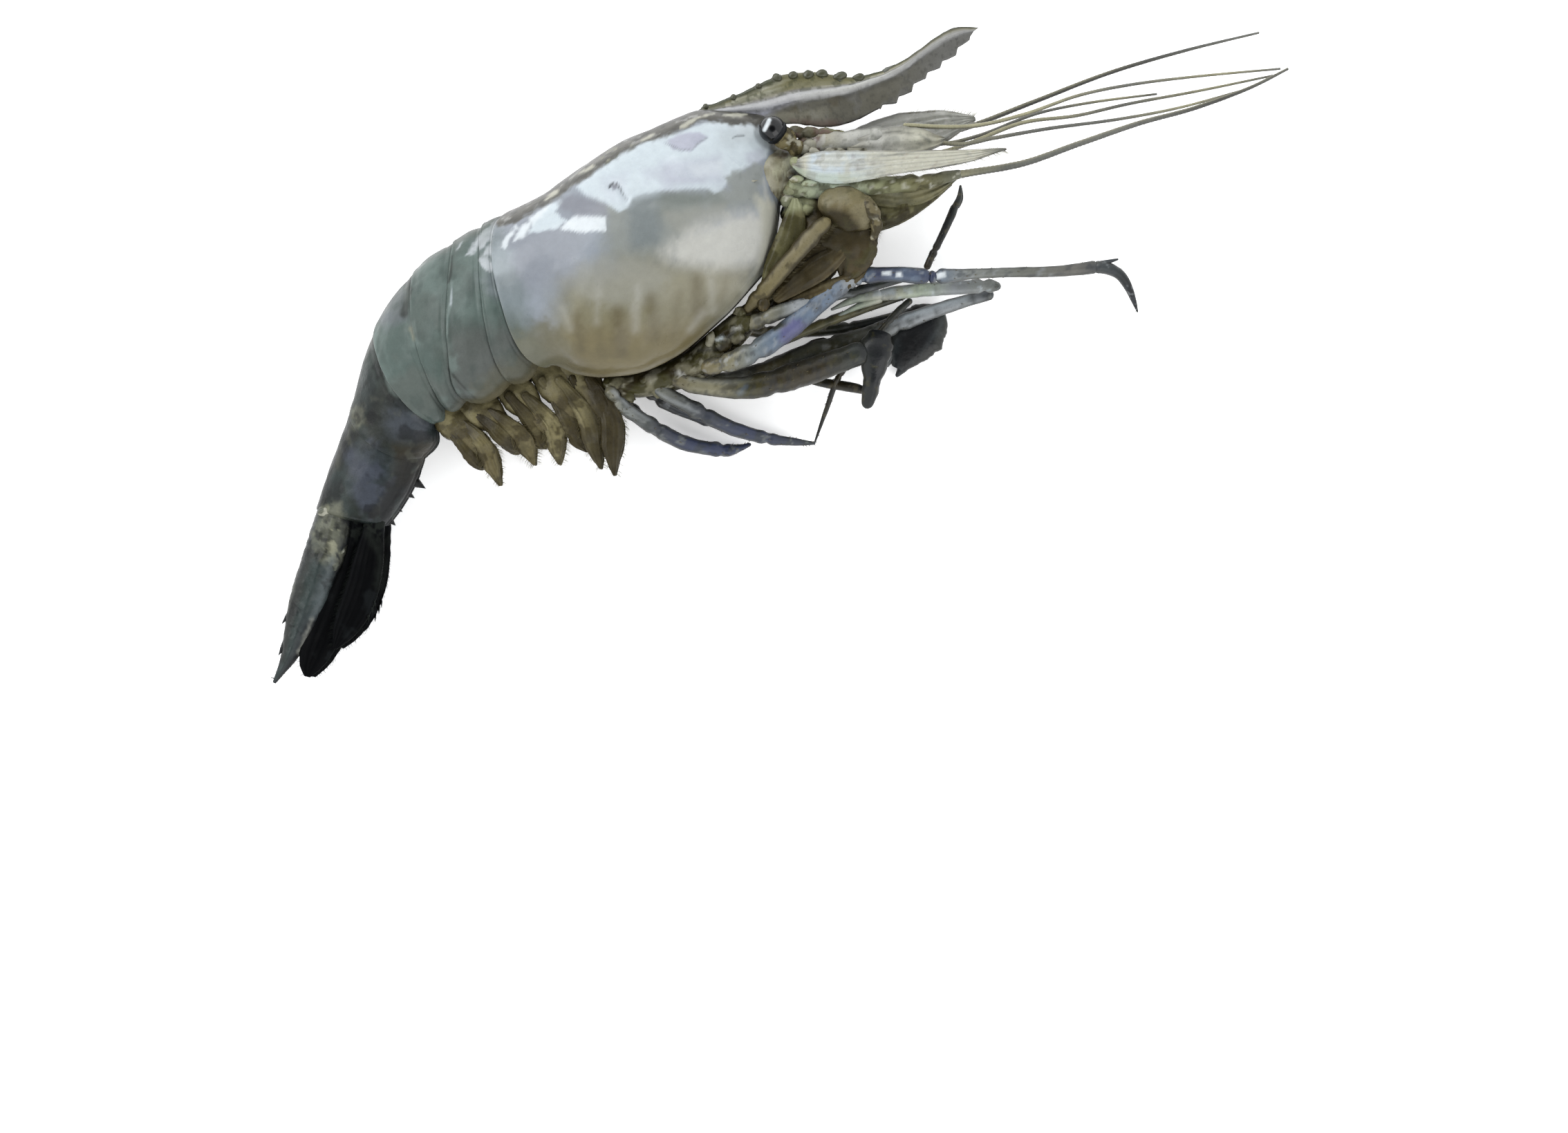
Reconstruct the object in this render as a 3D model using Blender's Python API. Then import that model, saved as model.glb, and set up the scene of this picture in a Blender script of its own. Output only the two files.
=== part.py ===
"""Raw giant freshwater prawn, whole and uncooked, lying on its left side.

The prawn lies in the XY plane with its head towards +X and its back towards
+Y.  Z points up through its flanks: the left flank rests on the table at
z = 0 and the right flank faces up.  Its outline is laid out on a side-view
drawing grid, x to the right and y downwards, of GRID metres a step; heights
and radii are in millimetres.
"""
import math

import bmesh
import bpy
from mathutils import Vector

# ---------------------------------------------------------------- dimensions
GRID = 0.00014            # metres per step of the side-view drawing grid
ORIGIN_X = 1129.5         # grid position of the part's origin: the centre of
ORIGIN_Y = 513.3          # the box around the whole prawn, at table height
MM = 0.001

GAP = 0.34                # mm between neighbouring pieces
SIDES = 22                # facets round the body
FRONT_SCALE = 0.968       # each shell ring slips under the one ahead of it
SCALLOP = 2.6             # mm that a side plate rounds off at its lower corners
BLADE_ROOT = 1.55         # mm, half thickness of the rostrum at its side ridge
BLADE_TIP = 0.55
EYE_RADIUS = 2.75

# Body stations from the brow (0) to the tail joint (15): the back and belly
# points on the grid, then half width and height of the middle, in mm.
STATIONS = [
    (1122, 180, 1130, 222, 2.2, 13.7),
    (1104, 167, 1127, 300, 5.3, 13.8),
    (1080, 163, 1112, 380, 8.6, 14.0),
    (1045, 160, 1080, 425, 11.2, 14.2),
    (1005, 160, 1040, 468, 13.0, 14.3),
    (955, 181, 985, 516, 14.5, 14.3),
    (900, 204, 930, 543, 15.2, 14.5),
    (845, 238, 880, 550, 15.3, 14.6),
    (790, 278, 840, 546, 14.8, 14.1),
    (738, 304, 800, 532, 14.3, 13.6),
    (700, 322, 755, 562, 13.7, 13.0),
    (655, 348, 700, 588, 13.2, 12.6),
    (598, 391, 655, 600, 12.2, 11.6),
    (541, 470, 640, 618, 10.4, 9.9),
    (503, 590, 622, 662, 8.3, 7.9),
    (450, 742, 560, 765, 6.3, 6.3),
]

# Rear edge of the carapace and of the shell rings: station, how far its side
# bows backwards (in stations) and where on the flank that is greatest.
EDGES = {
    9: (9.0, 1.00, 0.42),
    10: (10.0, 0.52, 0.55),
    11: (11.0, 0.72, 0.68),
    12: (12.0, 0.50, 0.60),
    13: (13.0, 0.46, 0.55),
    14: (14.0, 0.22, 0.50),
    15: (15.0, 0.00, 0.50),
}

# ----------------------------------------------------------------- the scene
for ob in list(bpy.data.objects):
    bpy.data.objects.remove(ob, do_unlink=True)

prawn = bpy.data.collections.new("freshwater_prawn")
bpy.context.scene.collection.children.link(prawn)


def material(name, colour, rough, metallic=0.0):
    mat = bpy.data.materials.new(name)
    mat.use_nodes = True
    bsdf = mat.node_tree.nodes["Principled BSDF"]
    bsdf.inputs["Base Color"].default_value = (*colour, 1.0)
    bsdf.inputs["Roughness"].default_value = rough
    bsdf.inputs["Metallic"].default_value = metallic
    return mat


SHELL = material("shell_grey_blue", (0.17, 0.19, 0.20), 0.25)
TAIL = material("tail_slate_black", (0.025, 0.035, 0.045), 0.25)
EYE = material("eye_black", (0.006, 0.006, 0.007), 0.08)
BLADE = material("rostrum_olive", (0.12, 0.11, 0.08), 0.30)
SCALE = material("antennal_scale_grey", (0.34, 0.38, 0.40), 0.25)
HEAD = material("head_olive", (0.30, 0.25, 0.15), 0.35)
WHISKER = material("flagellum_grey", (0.20, 0.18, 0.15), 0.40)
LIMB = material("leg_slate_blue", (0.12, 0.17, 0.26), 0.30)
PADDLE = material("swimmeret_olive", (0.26, 0.21, 0.13), 0.40)


def place(x, y, z):
    """Grid position and height in mm, as a point in metres."""
    return Vector(((x - ORIGIN_X) * GRID, (ORIGIN_Y - y) * GRID, z * MM))


def curve_through(points, per_span):
    """Points of a smooth curve through tuples of equal length."""
    out = []
    n = len(points)
    for i in range(n - 1):
        p0 = points[max(i - 1, 0)]
        p1, p2 = points[i], points[i + 1]
        p3 = points[min(i + 2, n - 1)]
        for j in range(per_span):
            t = j / per_span
            row = []
            for a, b, c, d in zip(p0, p1, p2, p3):
                row.append(0.5 * (2 * b + (c - a) * t
                                  + (2 * a - 5 * b + 4 * c - d) * t * t
                                  + (3 * b - a - 3 * c + d) * t ** 3))
            out.append(tuple(row))
    out.append(tuple(float(v) for v in points[-1]))
    return out


def add_object(name, mesh, mat):
    ob = bpy.data.objects.new(name, mesh)
    mesh.materials.clear()
    mesh.materials.append(mat)
    prawn.objects.link(ob)
    return ob


def loft(name, rings, mat, hubs=(None, None)):
    """Closed solid through rings of equal count, with a fan at each end."""
    bm = bmesh.new()
    rows = [[bm.verts.new(p) for p in ring] for ring in rings]
    n = len(rings[0])
    for a, b in zip(rows, rows[1:]):
        for i in range(n):
            j = (i + 1) % n
            bm.faces.new((a[i], a[j], b[j], b[i]))
    for ring, hub in zip((rows[0], rows[-1]), hubs):
        mid = bm.verts.new(hub or sum((v.co for v in ring), Vector()) / n)
        for i in range(n):
            bm.faces.new((ring[i], ring[(i + 1) % n], mid))
    bmesh.ops.recalc_face_normals(bm, faces=bm.faces)
    mesh = bpy.data.meshes.new(name)
    bm.to_mesh(mesh)
    bm.free()
    mesh.shade_smooth()
    return add_object(name, mesh, mat)


def tube(name, points, mat):
    """Round limb through (x, y, height, radius) points, as a bevelled curve."""
    cu = bpy.data.curves.new(name, "CURVE")
    cu.dimensions = "3D"
    cu.bevel_depth = 1.0 * MM
    cu.bevel_resolution = 2
    cu.use_fill_caps = True
    sp = cu.splines.new("POLY")
    sp.points.add(len(points) - 1)
    for p, (x, y, z, r) in zip(sp.points, points):
        p.co = (*place(x, y, z), 1.0)
        p.radius = r
    ob = bpy.data.objects.new(name, cu)
    cu.materials.append(mat)
    prawn.objects.link(ob)
    return ob


def limb(name, points, mat, per_span=2):
    return tube(name, curve_through(points, per_span), mat)


def oval(name, points, mat, per_span=2, sides=8):
    """Flattened limb through (x, y, height, half width across the path in the
    plane of the drawing, half width in height)."""
    rows = curve_through(points, per_span)
    rings = []
    for i, (x, y, z, a, b) in enumerate(rows):
        q, p = rows[min(i + 1, len(rows) - 1)], rows[max(i - 1, 0)]
        along = (place(*q[:3]) - place(*p[:3])).normalized()
        across = along.cross(Vector((0, 0, 1))).normalized()
        up = across.cross(along).normalized()
        mid = place(x, y, z)
        ring = []
        for k in range(sides):
            t = 2 * math.pi * k / sides
            ring.append(mid + across * (a * MM * math.cos(t))
                        + up * (b * MM * math.sin(t)))
        rings.append(ring)
    return loft(name, rings, mat)


def as_mesh(ob):
    """Turn a bevelled curve into a closed mesh object in the same place."""
    name, mat = ob.name, ob.data.materials[0]
    dg = bpy.context.evaluated_depsgraph_get()
    mesh = bpy.data.meshes.new_from_object(ob.evaluated_get(dg))
    bm = bmesh.new()
    bm.from_mesh(mesh)
    bmesh.ops.remove_doubles(bm, verts=bm.verts, dist=0.000001)
    bmesh.ops.recalc_face_normals(bm, faces=bm.faces)
    bm.to_mesh(mesh)
    bm.free()
    world = ob.matrix_world.copy()
    bpy.data.objects.remove(ob, do_unlink=True)
    new = add_object(name, mesh, mat)
    new.name = name
    new.matrix_world = world
    return new


def join(ob, other):
    """Union of two closed meshes, kept on the first."""
    mod = ob.modifiers.new("join", "BOOLEAN")
    mod.operation = "UNION"
    mod.solver = "EXACT"
    mod.object = other
    dg = bpy.context.evaluated_depsgraph_get()
    mesh = bpy.data.meshes.new_from_object(ob.evaluated_get(dg))
    ob.modifiers.clear()
    ob.data = mesh
    bpy.data.objects.remove(other, do_unlink=True)
    return ob


# ------------------------------------------------------------ body shell form
def station(u):
    u = min(max(u, 0.0), len(STATIONS) - 1.0)
    i = min(int(u), len(STATIONS) - 2)
    t = u - i
    p = [STATIONS[min(max(k, 0), len(STATIONS) - 1)] for k in (i - 1, i, i + 1, i + 2)]
    out = []
    for a, b, c, d in zip(*p):
        out.append(0.5 * (2 * b + (c - a) * t + (2 * a - 5 * b + 4 * c - d) * t * t
                          + (3 * b - a - 3 * c + d) * t ** 3))
    return out


def step_length(u):
    """mm of body per station at u."""
    a, b = station(u - 0.25), station(u + 0.25)
    mid = [0.5 * (a[0] + a[2]), 0.5 * (a[1] + a[3]), 0.5 * (b[0] + b[2]), 0.5 * (b[1] + b[3])]
    span = math.hypot(mid[2] - mid[0], mid[3] - mid[1]) * GRID / MM
    return span / (min(u + 0.25, 15.0) - max(u - 0.25, 0.0))


def inset(u, angle, scale=1.0, rise=0.0):
    """How far out from the middle a surface point lies, as a share of the full
    section: scale shrinks it all round, rise lifts its belly side by mm."""
    c = math.cos(angle)
    if c >= 0 or not rise:
        return scale
    dx, dy, vx, vy, w, zc = station(u)
    depth = 0.46 * math.hypot(vx - dx, vy - dy) * GRID / MM
    return scale * (1 - rise / depth * min(1.0, -c * 1.6))


def skin(u, angle, out=1.0):
    """Point of the body surface: angle 0 on the back, 180 degrees on the
    belly, 90 on the right flank; out is its share of the full section."""
    dx, dy, vx, vy, w, zc = station(u)
    mx, my = dx + 0.54 * (vx - dx), dy + 0.54 * (vy - dy)
    c, s = math.cos(angle), math.sin(angle)
    power = 1.0 if c >= 0 else 2 / 2.7
    reach = abs(c) ** power * out
    ex, ey = (dx, dy) if c >= 0 else (vx, vy)
    z = zc + w * math.copysign(abs(s) ** power, s) * out
    return place(mx + (ex - mx) * reach, my + (ey - my) * reach, max(z, 0.0))


def edge(k, angle, out=1.0):
    """Rear edge k as a station value at this angle round the body, and further
    in on the wall that closes the ring there."""
    base, bow, peak = EDGES[k]
    side = abs(((angle + math.pi) % (2 * math.pi)) - math.pi) / math.pi
    power = math.log(0.5) / math.log(peak)
    return base + bow * (0.5 + (math.sin(math.pi * side ** power) - 0.5) * out)


ANGLES = [2 * math.pi * i / SIDES for i in range(SIDES)]


def build_carapace():
    rings = []
    levels = [0, 0.3, 0.65, 1, 1.4, 1.8, 2.3, 2.8, 3.4, 4, 4.6, 5.2, 5.9, 6.6, 7.3, 8.0, 8.6, 9.0]
    for u in levels:
        k = min(max((u - 6.5) / 2.5, 0.0), 1.0)
        k = k * k * (3 - 2 * k)
        rings.append([skin(u + (edge(9, a) - 9.0) * k, a) for a in ANGLES])
    return loft("cephalothorax", rings, SHELL, (None, skin(edge(9, 0.0, 0.0), 0.0, 0.0)))


# Rostrum, from its root on the carapace to its tip: top edge with its teeth,
# side ridge, and lower edge.
TOP = [(1000, 166), (1012, 156), (1022, 149), (1030, 153), (1046, 146), (1060, 136),
       (1068, 142), (1090, 131), (1112, 118), (1133, 105), (1140, 112), (1158, 108),
       (1176, 99), (1183, 105), (1196, 99), (1204, 106), (1221, 101), (1231, 115),
       (1246, 107), (1268, 104), (1292, 91), (1310, 85), (1330, 70), (1352, 54),
       (1376, 39), (1416, 39)]
RIDGE = [(1000, 172), (1014, 166), (1026, 162), (1036, 160), (1050, 159), (1062, 158),
         (1074, 158), (1092, 157), (1114, 154), (1134, 147), (1144, 144), (1160, 140),
         (1176, 137), (1186, 135), (1198, 133), (1208, 131), (1224, 127), (1236, 123),
         (1250, 119), (1270, 112), (1292, 103), (1312, 92), (1330, 78), (1348, 66),
         (1376, 52), (1404, 44)]
LOWER = [(1004, 200), (1018, 200), (1030, 198), (1040, 196), (1054, 194), (1066, 192),
         (1078, 190), (1096, 186), (1118, 181), (1138, 178), (1148, 178), (1164, 179),
         (1180, 181), (1190, 183), (1202, 184), (1214, 182), (1228, 177), (1242, 171),
         (1258, 165), (1279, 153), (1297, 149), (1316, 131), (1334, 116), (1352, 101),
         (1379, 82), (1402, 56)]


def build_rostrum():
    rings = []
    n = len(TOP)
    for i in range(n):
        s = i / (n - 1)
        half = BLADE_ROOT + (BLADE_TIP - BLADE_ROOT) * s
        zc = 13.7
        (tx, ty), (rx, ry), (lx, ly) = TOP[i], RIDGE[i], LOWER[i]
        edge_half = 0.30 * half
        ring = [place(tx, ty, zc + edge_half), place(rx, ry, zc + half),
                place(lx, ly, zc + edge_half), place(lx, ly, zc - edge_half),
                place(rx, ry, zc - half), place(tx, ty, zc - edge_half)]
        rings.append(ring)
    return loft("rostrum_blade", rings, BLADE)


def build_ring(name, front, rear, mat, rows=4, scallop=SCALLOP):
    """Shell ring of the abdomen between two edges."""
    rings = []
    lead = GAP / step_length(front)
    for j in range(rows + 1):
        s = j / rows
        scale = FRONT_SCALE + (1 - FRONT_SCALE) * s ** 0.7
        rise = scallop * (1 - math.sin(math.pi * (s * 0.92 + 0.04)))
        ring = []
        for a in ANGLES:
            out = inset(front + (rear - front) * s, a, scale, rise)
            u0 = edge(front, a, out) + lead
            u1 = edge(rear, a, out)
            ring.append(skin(u0 + (u1 - u0) * s, a, out))
        rings.append(ring)
    hubs = (skin(edge(front, 0.0, 0.0) + lead, 0.0, 0.0), skin(edge(rear, 0.0, 0.0), 0.0, 0.0))
    return loft(name, rings, mat, hubs)


carapace = build_carapace()
blade = build_rostrum()
join(carapace, blade)

build_ring("abdomen_1", 9, 10, SHELL, rows=3)
build_ring("abdomen_2", 10, 11, SHELL)
build_ring("abdomen_3", 11, 12, SHELL)
build_ring("abdomen_4", 12, 13, SHELL, rows=5)
build_ring("abdomen_5", 13, 14, TAIL, rows=5)
build_ring("abdomen_6", 14, 15, TAIL, rows=5, scallop=1.2)

# ------------------------------------------------------------------ tail fan
oval("telson", [(484, 760, 6.9, 3.6, 4.2), (466, 800, 6.9, 4.2, 4.0), (452, 840, 6.8, 4.1, 3.4),
                (438, 880, 6.6, 3.8, 2.8), (426, 915, 6.4, 3.0, 2.2), (413, 950, 6.2, 1.8, 1.5),
                (391, 989, 6.0, 0.5, 0.6)], TAIL, sides=10)
OUTER = [(544, 776, 3.0, 0.9), (538, 815, 4.0, 0.8), (533, 850, 4.0, 0.7), (520, 885, 3.4, 0.6),
         (500, 922, 1.2, 0.5)]
INNER = [(524, 774, 1.8, 0.9), (513, 815, 3.0, 0.8), (499, 860, 3.2, 0.7), (484, 905, 3.0, 0.6),
         (467, 948, 2.4, 0.6), (450, 977, 0.9, 0.5)]
for side, levels in (("right", (10.6, 8.4)), ("left", (2.4, 4.7))):
    drift = -0.9 if side == "right" else 0.0
    n = len(OUTER) - 1
    oval("uropod_outer_" + side, [(x + (0 if side == "right" else 6), y, levels[0] + drift * i / n, a, b)
                                  for i, (x, y, a, b) in enumerate(OUTER)], TAIL)
    n = len(INNER) - 1
    oval("uropod_inner_" + side, [(x + (0 if side == "right" else 6), y, levels[1] + drift * i / n, a, b)
                                  for i, (x, y, a, b) in enumerate(INNER)], TAIL)

# ------------------------------------------------------------- eyes on stalks
for side, zeye, zroot in (("right", 20.9, 19.2), ("left", 6.5, 8.2)):
    bpy.ops.mesh.primitive_uv_sphere_add(segments=12, ring_count=8, radius=EYE_RADIUS * MM,
                                         location=place(1117, 190, zeye))
    ball = bpy.context.object
    ball.name = "eye_" + side
    ball.data.name = ball.name
    ball.data.shade_smooth()
    ball.data.materials.append(EYE)
    for col in list(ball.users_collection):
        col.objects.unlink(ball)
    prawn.objects.link(ball)
    stalk = as_mesh(tube("eye_stalk_" + side, [(1152, 214, zroot, 1.5), (1138, 204, 0.5 * (zroot + zeye), 1.9),
                                               (1120, 192, zeye, 1.7)], EYE))
    bpy.context.view_layer.update()
    join(ball, stalk)

# ---------------------------------------------------- feelers and head plates
oval("antennal_scale_right", [(1165, 243, 22.6, 1.6, 0.7), (1215, 243, 22.8, 2.9, 0.7), (1290, 236, 22.6, 3.0, 0.6),
                              (1365, 229, 22.2, 2.4, 0.6), (1425, 221, 21.8, 1.1, 0.5), (1452, 219, 21.6, 0.35, 0.35)], SCALE)
oval("antennal_scale_left", [(1205, 222, 9.9, 1.8, 0.7), (1250, 212, 9.9, 3.2, 0.7), (1310, 196, 9.8, 4.3, 0.6),
                             (1362, 181, 9.6, 3.3, 0.6), (1395, 173, 9.4, 1.6, 0.5), (1412, 169, 9.3, 0.5, 0.4)], SCALE)

limb("antenna_right", [(1142, 268, 18.4, 1.4), (1180, 272, 19.0, 2.0), (1250, 271, 19.2, 2.1), (1330, 266, 19.2, 1.8),
                       (1376, 256, 19.0, 1.2), (1400, 252, 18.6, 0.8), (1480, 237, 17.0, 0.72), (1560, 208, 14.4, 0.66),
                       (1650, 176, 11.0, 0.58), (1730, 153, 8.0, 0.50), (1810, 123, 5.8, 0.42), (1870, 93, 5.0, 0.34)], WHISKER)
limb("antenna_left", [(1150, 244, 8.2, 1.3), (1200, 232, 7.4, 1.7), (1290, 207, 7.0, 1.6), (1350, 190, 6.8, 1.1),
                      (1400, 180, 6.4, 0.55), (1500, 141, 4.8, 0.50), (1610, 98, 3.0, 0.44), (1720, 65, 1.6, 0.38),
                      (1830, 38, 0.8, 0.32)], WHISKER)
limb("antennule_right", [(1158, 206, 15.6, 1.1), (1190, 201, 16.2, 1.5), (1250, 193, 16.4, 1.4), (1298, 187, 16.4, 1.1)], HEAD)
limb("antennule_left", [(1158, 212, 12.3, 1.0), (1190, 210, 12.5, 1.3), (1250, 205, 12.5, 1.3), (1298, 203, 12.4, 1.0)], HEAD)
limb("antennule_lash_1", [(1306, 182, 16.6, 0.45), (1400, 183, 15.0, 0.42), (1480, 165, 13.0, 0.38), (1560, 136, 10.4, 0.36),
                          (1640, 118, 7.6, 0.34), (1740, 104, 4.6, 0.32), (1860, 92, 2.6, 0.30)], WHISKER)
limb("antennule_lash_2", [(1306, 192, 16.0, 0.45), (1380, 208, 14.0, 0.42), (1440, 198, 12.4, 0.40), (1520, 183, 9.8, 0.36),
                          (1620, 168, 6.4, 0.34), (1710, 150, 4.2, 0.32), (1800, 125, 3.2, 0.30)], WHISKER)
limb("antennule_lash_3", [(1306, 206, 12.4, 0.45), (1350, 219, 11.6, 0.42), (1400, 206, 10.2, 0.42), (1480, 174, 7.8, 0.40),
                          (1560, 162, 5.0, 0.36), (1640, 143, 3.0, 0.34), (1740, 124, 1.8, 0.32), (1850, 101, 1.2, 0.30)], WHISKER)
limb("antennule_lash_4", [(1306, 200, 11.6, 0.40), (1360, 206, 10.6, 0.38), (1420, 192, 8.6, 0.36), (1500, 160, 5.6, 0.34),
                          (1580, 142, 3.0, 0.32), (1680, 128, 1.2, 0.30)], WHISKER)

# --------------------------------------------------------- mouth and jaw feet
oval("mouthparts", [(1150, 305, 13.8, 2.4, 4.0), (1176, 318, 13.8, 4.6, 6.0), (1178, 352, 13.8, 6.4, 6.6),
                    (1160, 392, 13.8, 5.8, 6.4), (1132, 424, 13.8, 3.4, 5.0), (1116, 442, 13.8, 1.4, 3.2)], HEAD, per_span=1, sides=12)
JAW = [(1084, 446, 1.3), (1108, 420, 1.9), (1146, 372, 2.1), (1184, 328, 2.3), (1214, 303, 3.5), (1244, 306, 3.2),
       (1262, 326, 2.2), (1260, 350, 1.2)]
JAW_RISE = (18.6, 20.8, 23.0, 23.6, 23.9, 23.6, 22.6, 21.6)
limb("maxilliped_right", [(x, y, z, r) for (x, y, r), z in zip(JAW, JAW_RISE)], HEAD)
limb("maxilliped_left", [(x, y, 27.6 - z, r * 0.9) for (x, y, r), z in zip(JAW, JAW_RISE)], HEAD)

# --------------------------------------------------------------- walking legs
limb("pereiopod_1_right", [(1078, 474, 16.2, 1.1), (1130, 456, 14.2, 1.2), (1240, 420, 12.2, 0.9), (1334, 393, 10.0, 0.75)], LIMB)
limb("pereiopod_1_right_hand", [(1342, 385, 9.6, 0.7), (1362, 342, 8.8, 0.75), (1384, 292, 7.8, 0.8), (1389, 266, 7.2, 0.35)], LIMB)
limb("pereiopod_2_right", [(1022, 529, 18.8, 1.2), (1056, 525, 19.2, 1.8), (1092, 509, 19.3, 2.1), (1140, 478, 18.8, 2.1),
                           (1185, 438, 17.8, 2.0), (1236, 407, 16.8, 1.5)], LIMB)
limb("pereiopod_2_right_carpus", [(1245, 403, 16.6, 1.5), (1295, 397, 15.6, 1.6), (1343, 400, 14.2, 1.5)], LIMB)
limb("pereiopod_2_right_hand", [(1352, 399, 13.9, 1.3), (1450, 393, 11.0, 1.05), (1530, 391, 8.0, 1.05), (1600, 384, 5.2, 1.2),
                                (1628, 394, 3.8, 1.1), (1642, 418, 2.8, 0.8), (1650, 446, 2.2, 0.3)], LIMB)
limb("pereiopod_3_right", [(976, 548, 17.9, 1.2), (1014, 564, 17.4, 1.6), (1075, 565, 15.8, 1.7), (1160, 545, 12.8, 1.5),
                           (1244, 514, 10.6, 1.1), (1262, 530, 9.6, 1.2), (1266, 560, 8.2, 1.1), (1262, 586, 7.4, 0.4)], LIMB)
limb("pereiopod_4_right", [(932, 562, 16.8, 1.1), (960, 582, 16.2, 1.35), (1020, 604, 13.6, 1.4), (1060, 617, 11.8, 1.35),
                           (1110, 632, 8.6, 1.2), (1176, 640, 5.6, 0.5)], LIMB)
limb("pereiopod_5_right", [(882, 566, 17.0, 1.1), (906, 592, 16.4, 1.4), (950, 620, 13.2, 1.5), (992, 641, 10.0, 1.5),
                           (1045, 650, 7.4, 1.2), (1082, 642, 6.0, 0.4)], LIMB)

limb("pereiopod_1_left", [(1078, 476, 8.6, 1.0), (1140, 478, 5.0, 1.1), (1230, 470, 1.7, 1.1), (1330, 446, 1.5, 1.1)], LIMB)
limb("pereiopod_1_left_hand", [(1342, 448, 1.6, 1.0), (1362, 466, 1.9, 1.5), (1350, 500, 1.9, 1.6), (1328, 526, 1.6, 1.1),
                               (1308, 539, 1.3, 0.4)], LIMB)
limb("pereiopod_2_left", [(1000, 552, 9.4, 1.4), (1075, 563, 6.6, 1.6), (1180, 508, 4.5, 1.5), (1240, 489, 4.4, 1.4),
                          (1300, 466, 4.5, 1.3), (1370, 441, 4.6, 1.2), (1440, 421, 4.6, 0.9)], LIMB)
limb("pereiopod_2_left_hand", [(1446, 412, 7.3, 0.8), (1400, 413, 8.4, 1.1), (1350, 416, 8.5, 1.2), (1300, 421, 8.4, 1.2),
                               (1240, 432, 8.0, 0.9), (1204, 448, 7.6, 0.4)], LIMB)
limb("pereiopod_3_left", [(1016, 536, 9.2, 1.0), (1110, 500, 9.6, 1.0), (1220, 455, 6.6, 0.9), (1312, 424, 6.1, 0.7)], LIMB)
limb("pereiopod_3_left_foot", [(1318, 431, 6.5, 0.6), (1285, 464, 6.8, 0.6), (1215, 541, 6.2, 0.6), (1178, 641, 1.8, 0.25)], LIMB)
limb("pereiopod_4_left", [(930, 560, 9.6, 1.2), (972, 586, 7.0, 1.4), (1030, 607, 3.4, 1.3), (1110, 631, 1.9, 1.0),
                          (1156, 638, 1.5, 0.4)], LIMB)
limb("pereiopod_5_left", [(894, 566, 9.8, 1.2), (928, 606, 6.6, 1.4), (980, 635, 3.2, 1.4), (1044, 650, 1.8, 1.1),
                          (1080, 644, 1.4, 0.4)], LIMB)

# ----------------------------------------------------------------- swimmerets
PADDLES = [((848, 558), (875, 612), (888, 688)), ((806, 560), (842, 612), (868, 678)),
           ((757, 580), (792, 622), (808, 672)), ((707, 601), (746, 634), (772, 672)),
           ((662, 616), (694, 652), (722, 702))]
for i, (root, middle, tip) in enumerate(PADDLES, 1):
    quarter = (0.5 * (root[0] + middle[0]), 0.5 * (root[1] + middle[1]))
    late = (0.5 * (tip[0] + middle[0]), 0.5 * (tip[1] + middle[1]))
    full = 1.0 - 0.05 * i
    for side, sign in (("right", 1), ("left", -1)):
        base = 12.6 - 0.35 * i
        rows = [(*root, base + sign * 3.2, 1.2, 1.3), (*quarter, base + sign * 4.0, 1.9 * full, 2.0),
                (*middle, base + sign * 4.4, 2.1 * full, 3.2 * full), (*late, base + sign * 4.2, 1.8 * full, 3.2 * full),
                (*tip, base + sign * 3.6, 0.6, 1.0)]
        oval("pleopod_%d_%s" % (i, side), rows, PADDLE, sides=6)
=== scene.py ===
"""Looks of the raw freshwater prawn.

The prawn lies on its left side on a pale table, head towards +X and back
towards +Y, and is seen from straight above.  Positions are given on the same
side-view drawing grid as the solids: x to the right, y downwards, GRID metres a
step; heights and thicknesses are in millimetres.
"""

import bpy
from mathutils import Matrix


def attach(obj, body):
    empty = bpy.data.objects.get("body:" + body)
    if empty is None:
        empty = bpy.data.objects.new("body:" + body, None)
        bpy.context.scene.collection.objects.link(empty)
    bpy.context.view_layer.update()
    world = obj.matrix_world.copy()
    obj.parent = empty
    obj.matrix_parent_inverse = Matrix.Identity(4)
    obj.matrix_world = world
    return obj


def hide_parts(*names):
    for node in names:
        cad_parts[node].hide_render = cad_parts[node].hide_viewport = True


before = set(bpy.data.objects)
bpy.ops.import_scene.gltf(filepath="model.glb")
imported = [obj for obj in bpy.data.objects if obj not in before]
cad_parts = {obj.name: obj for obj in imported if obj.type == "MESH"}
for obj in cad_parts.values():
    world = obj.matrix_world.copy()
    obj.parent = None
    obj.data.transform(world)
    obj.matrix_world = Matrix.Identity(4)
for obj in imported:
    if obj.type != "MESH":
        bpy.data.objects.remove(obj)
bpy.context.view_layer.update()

import math

import bmesh
import bpy
import numpy as np
from mathutils import Vector

GRID = 0.00014
ORIGIN_X = 1129.5
ORIGIN_Y = 513.3
MM = 0.001
GAP = 0.30
FRONT_SCALE = 0.980
SCALLOP = 2.6

STATIONS = np.array([
    (1122, 180, 1130, 222, 2.2, 13.7),
    (1104, 167, 1127, 300, 5.3, 13.8),
    (1080, 163, 1112, 380, 8.6, 14.0),
    (1045, 160, 1080, 425, 11.2, 14.2),
    (1005, 160, 1040, 468, 13.0, 14.3),
    (955, 181, 985, 516, 14.5, 14.3),
    (900, 204, 930, 543, 15.2, 14.5),
    (845, 238, 880, 550, 15.3, 14.6),
    (790, 278, 840, 546, 14.8, 14.1),
    (738, 304, 800, 532, 14.3, 13.6),
    (700, 322, 755, 562, 13.7, 13.0),
    (655, 348, 700, 588, 13.2, 12.6),
    (598, 391, 655, 600, 12.2, 11.6),
    (541, 470, 640, 618, 10.4, 9.9),
    (503, 590, 622, 662, 8.3, 7.9),
    (450, 742, 560, 765, 6.3, 6.3),
], float)

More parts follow.
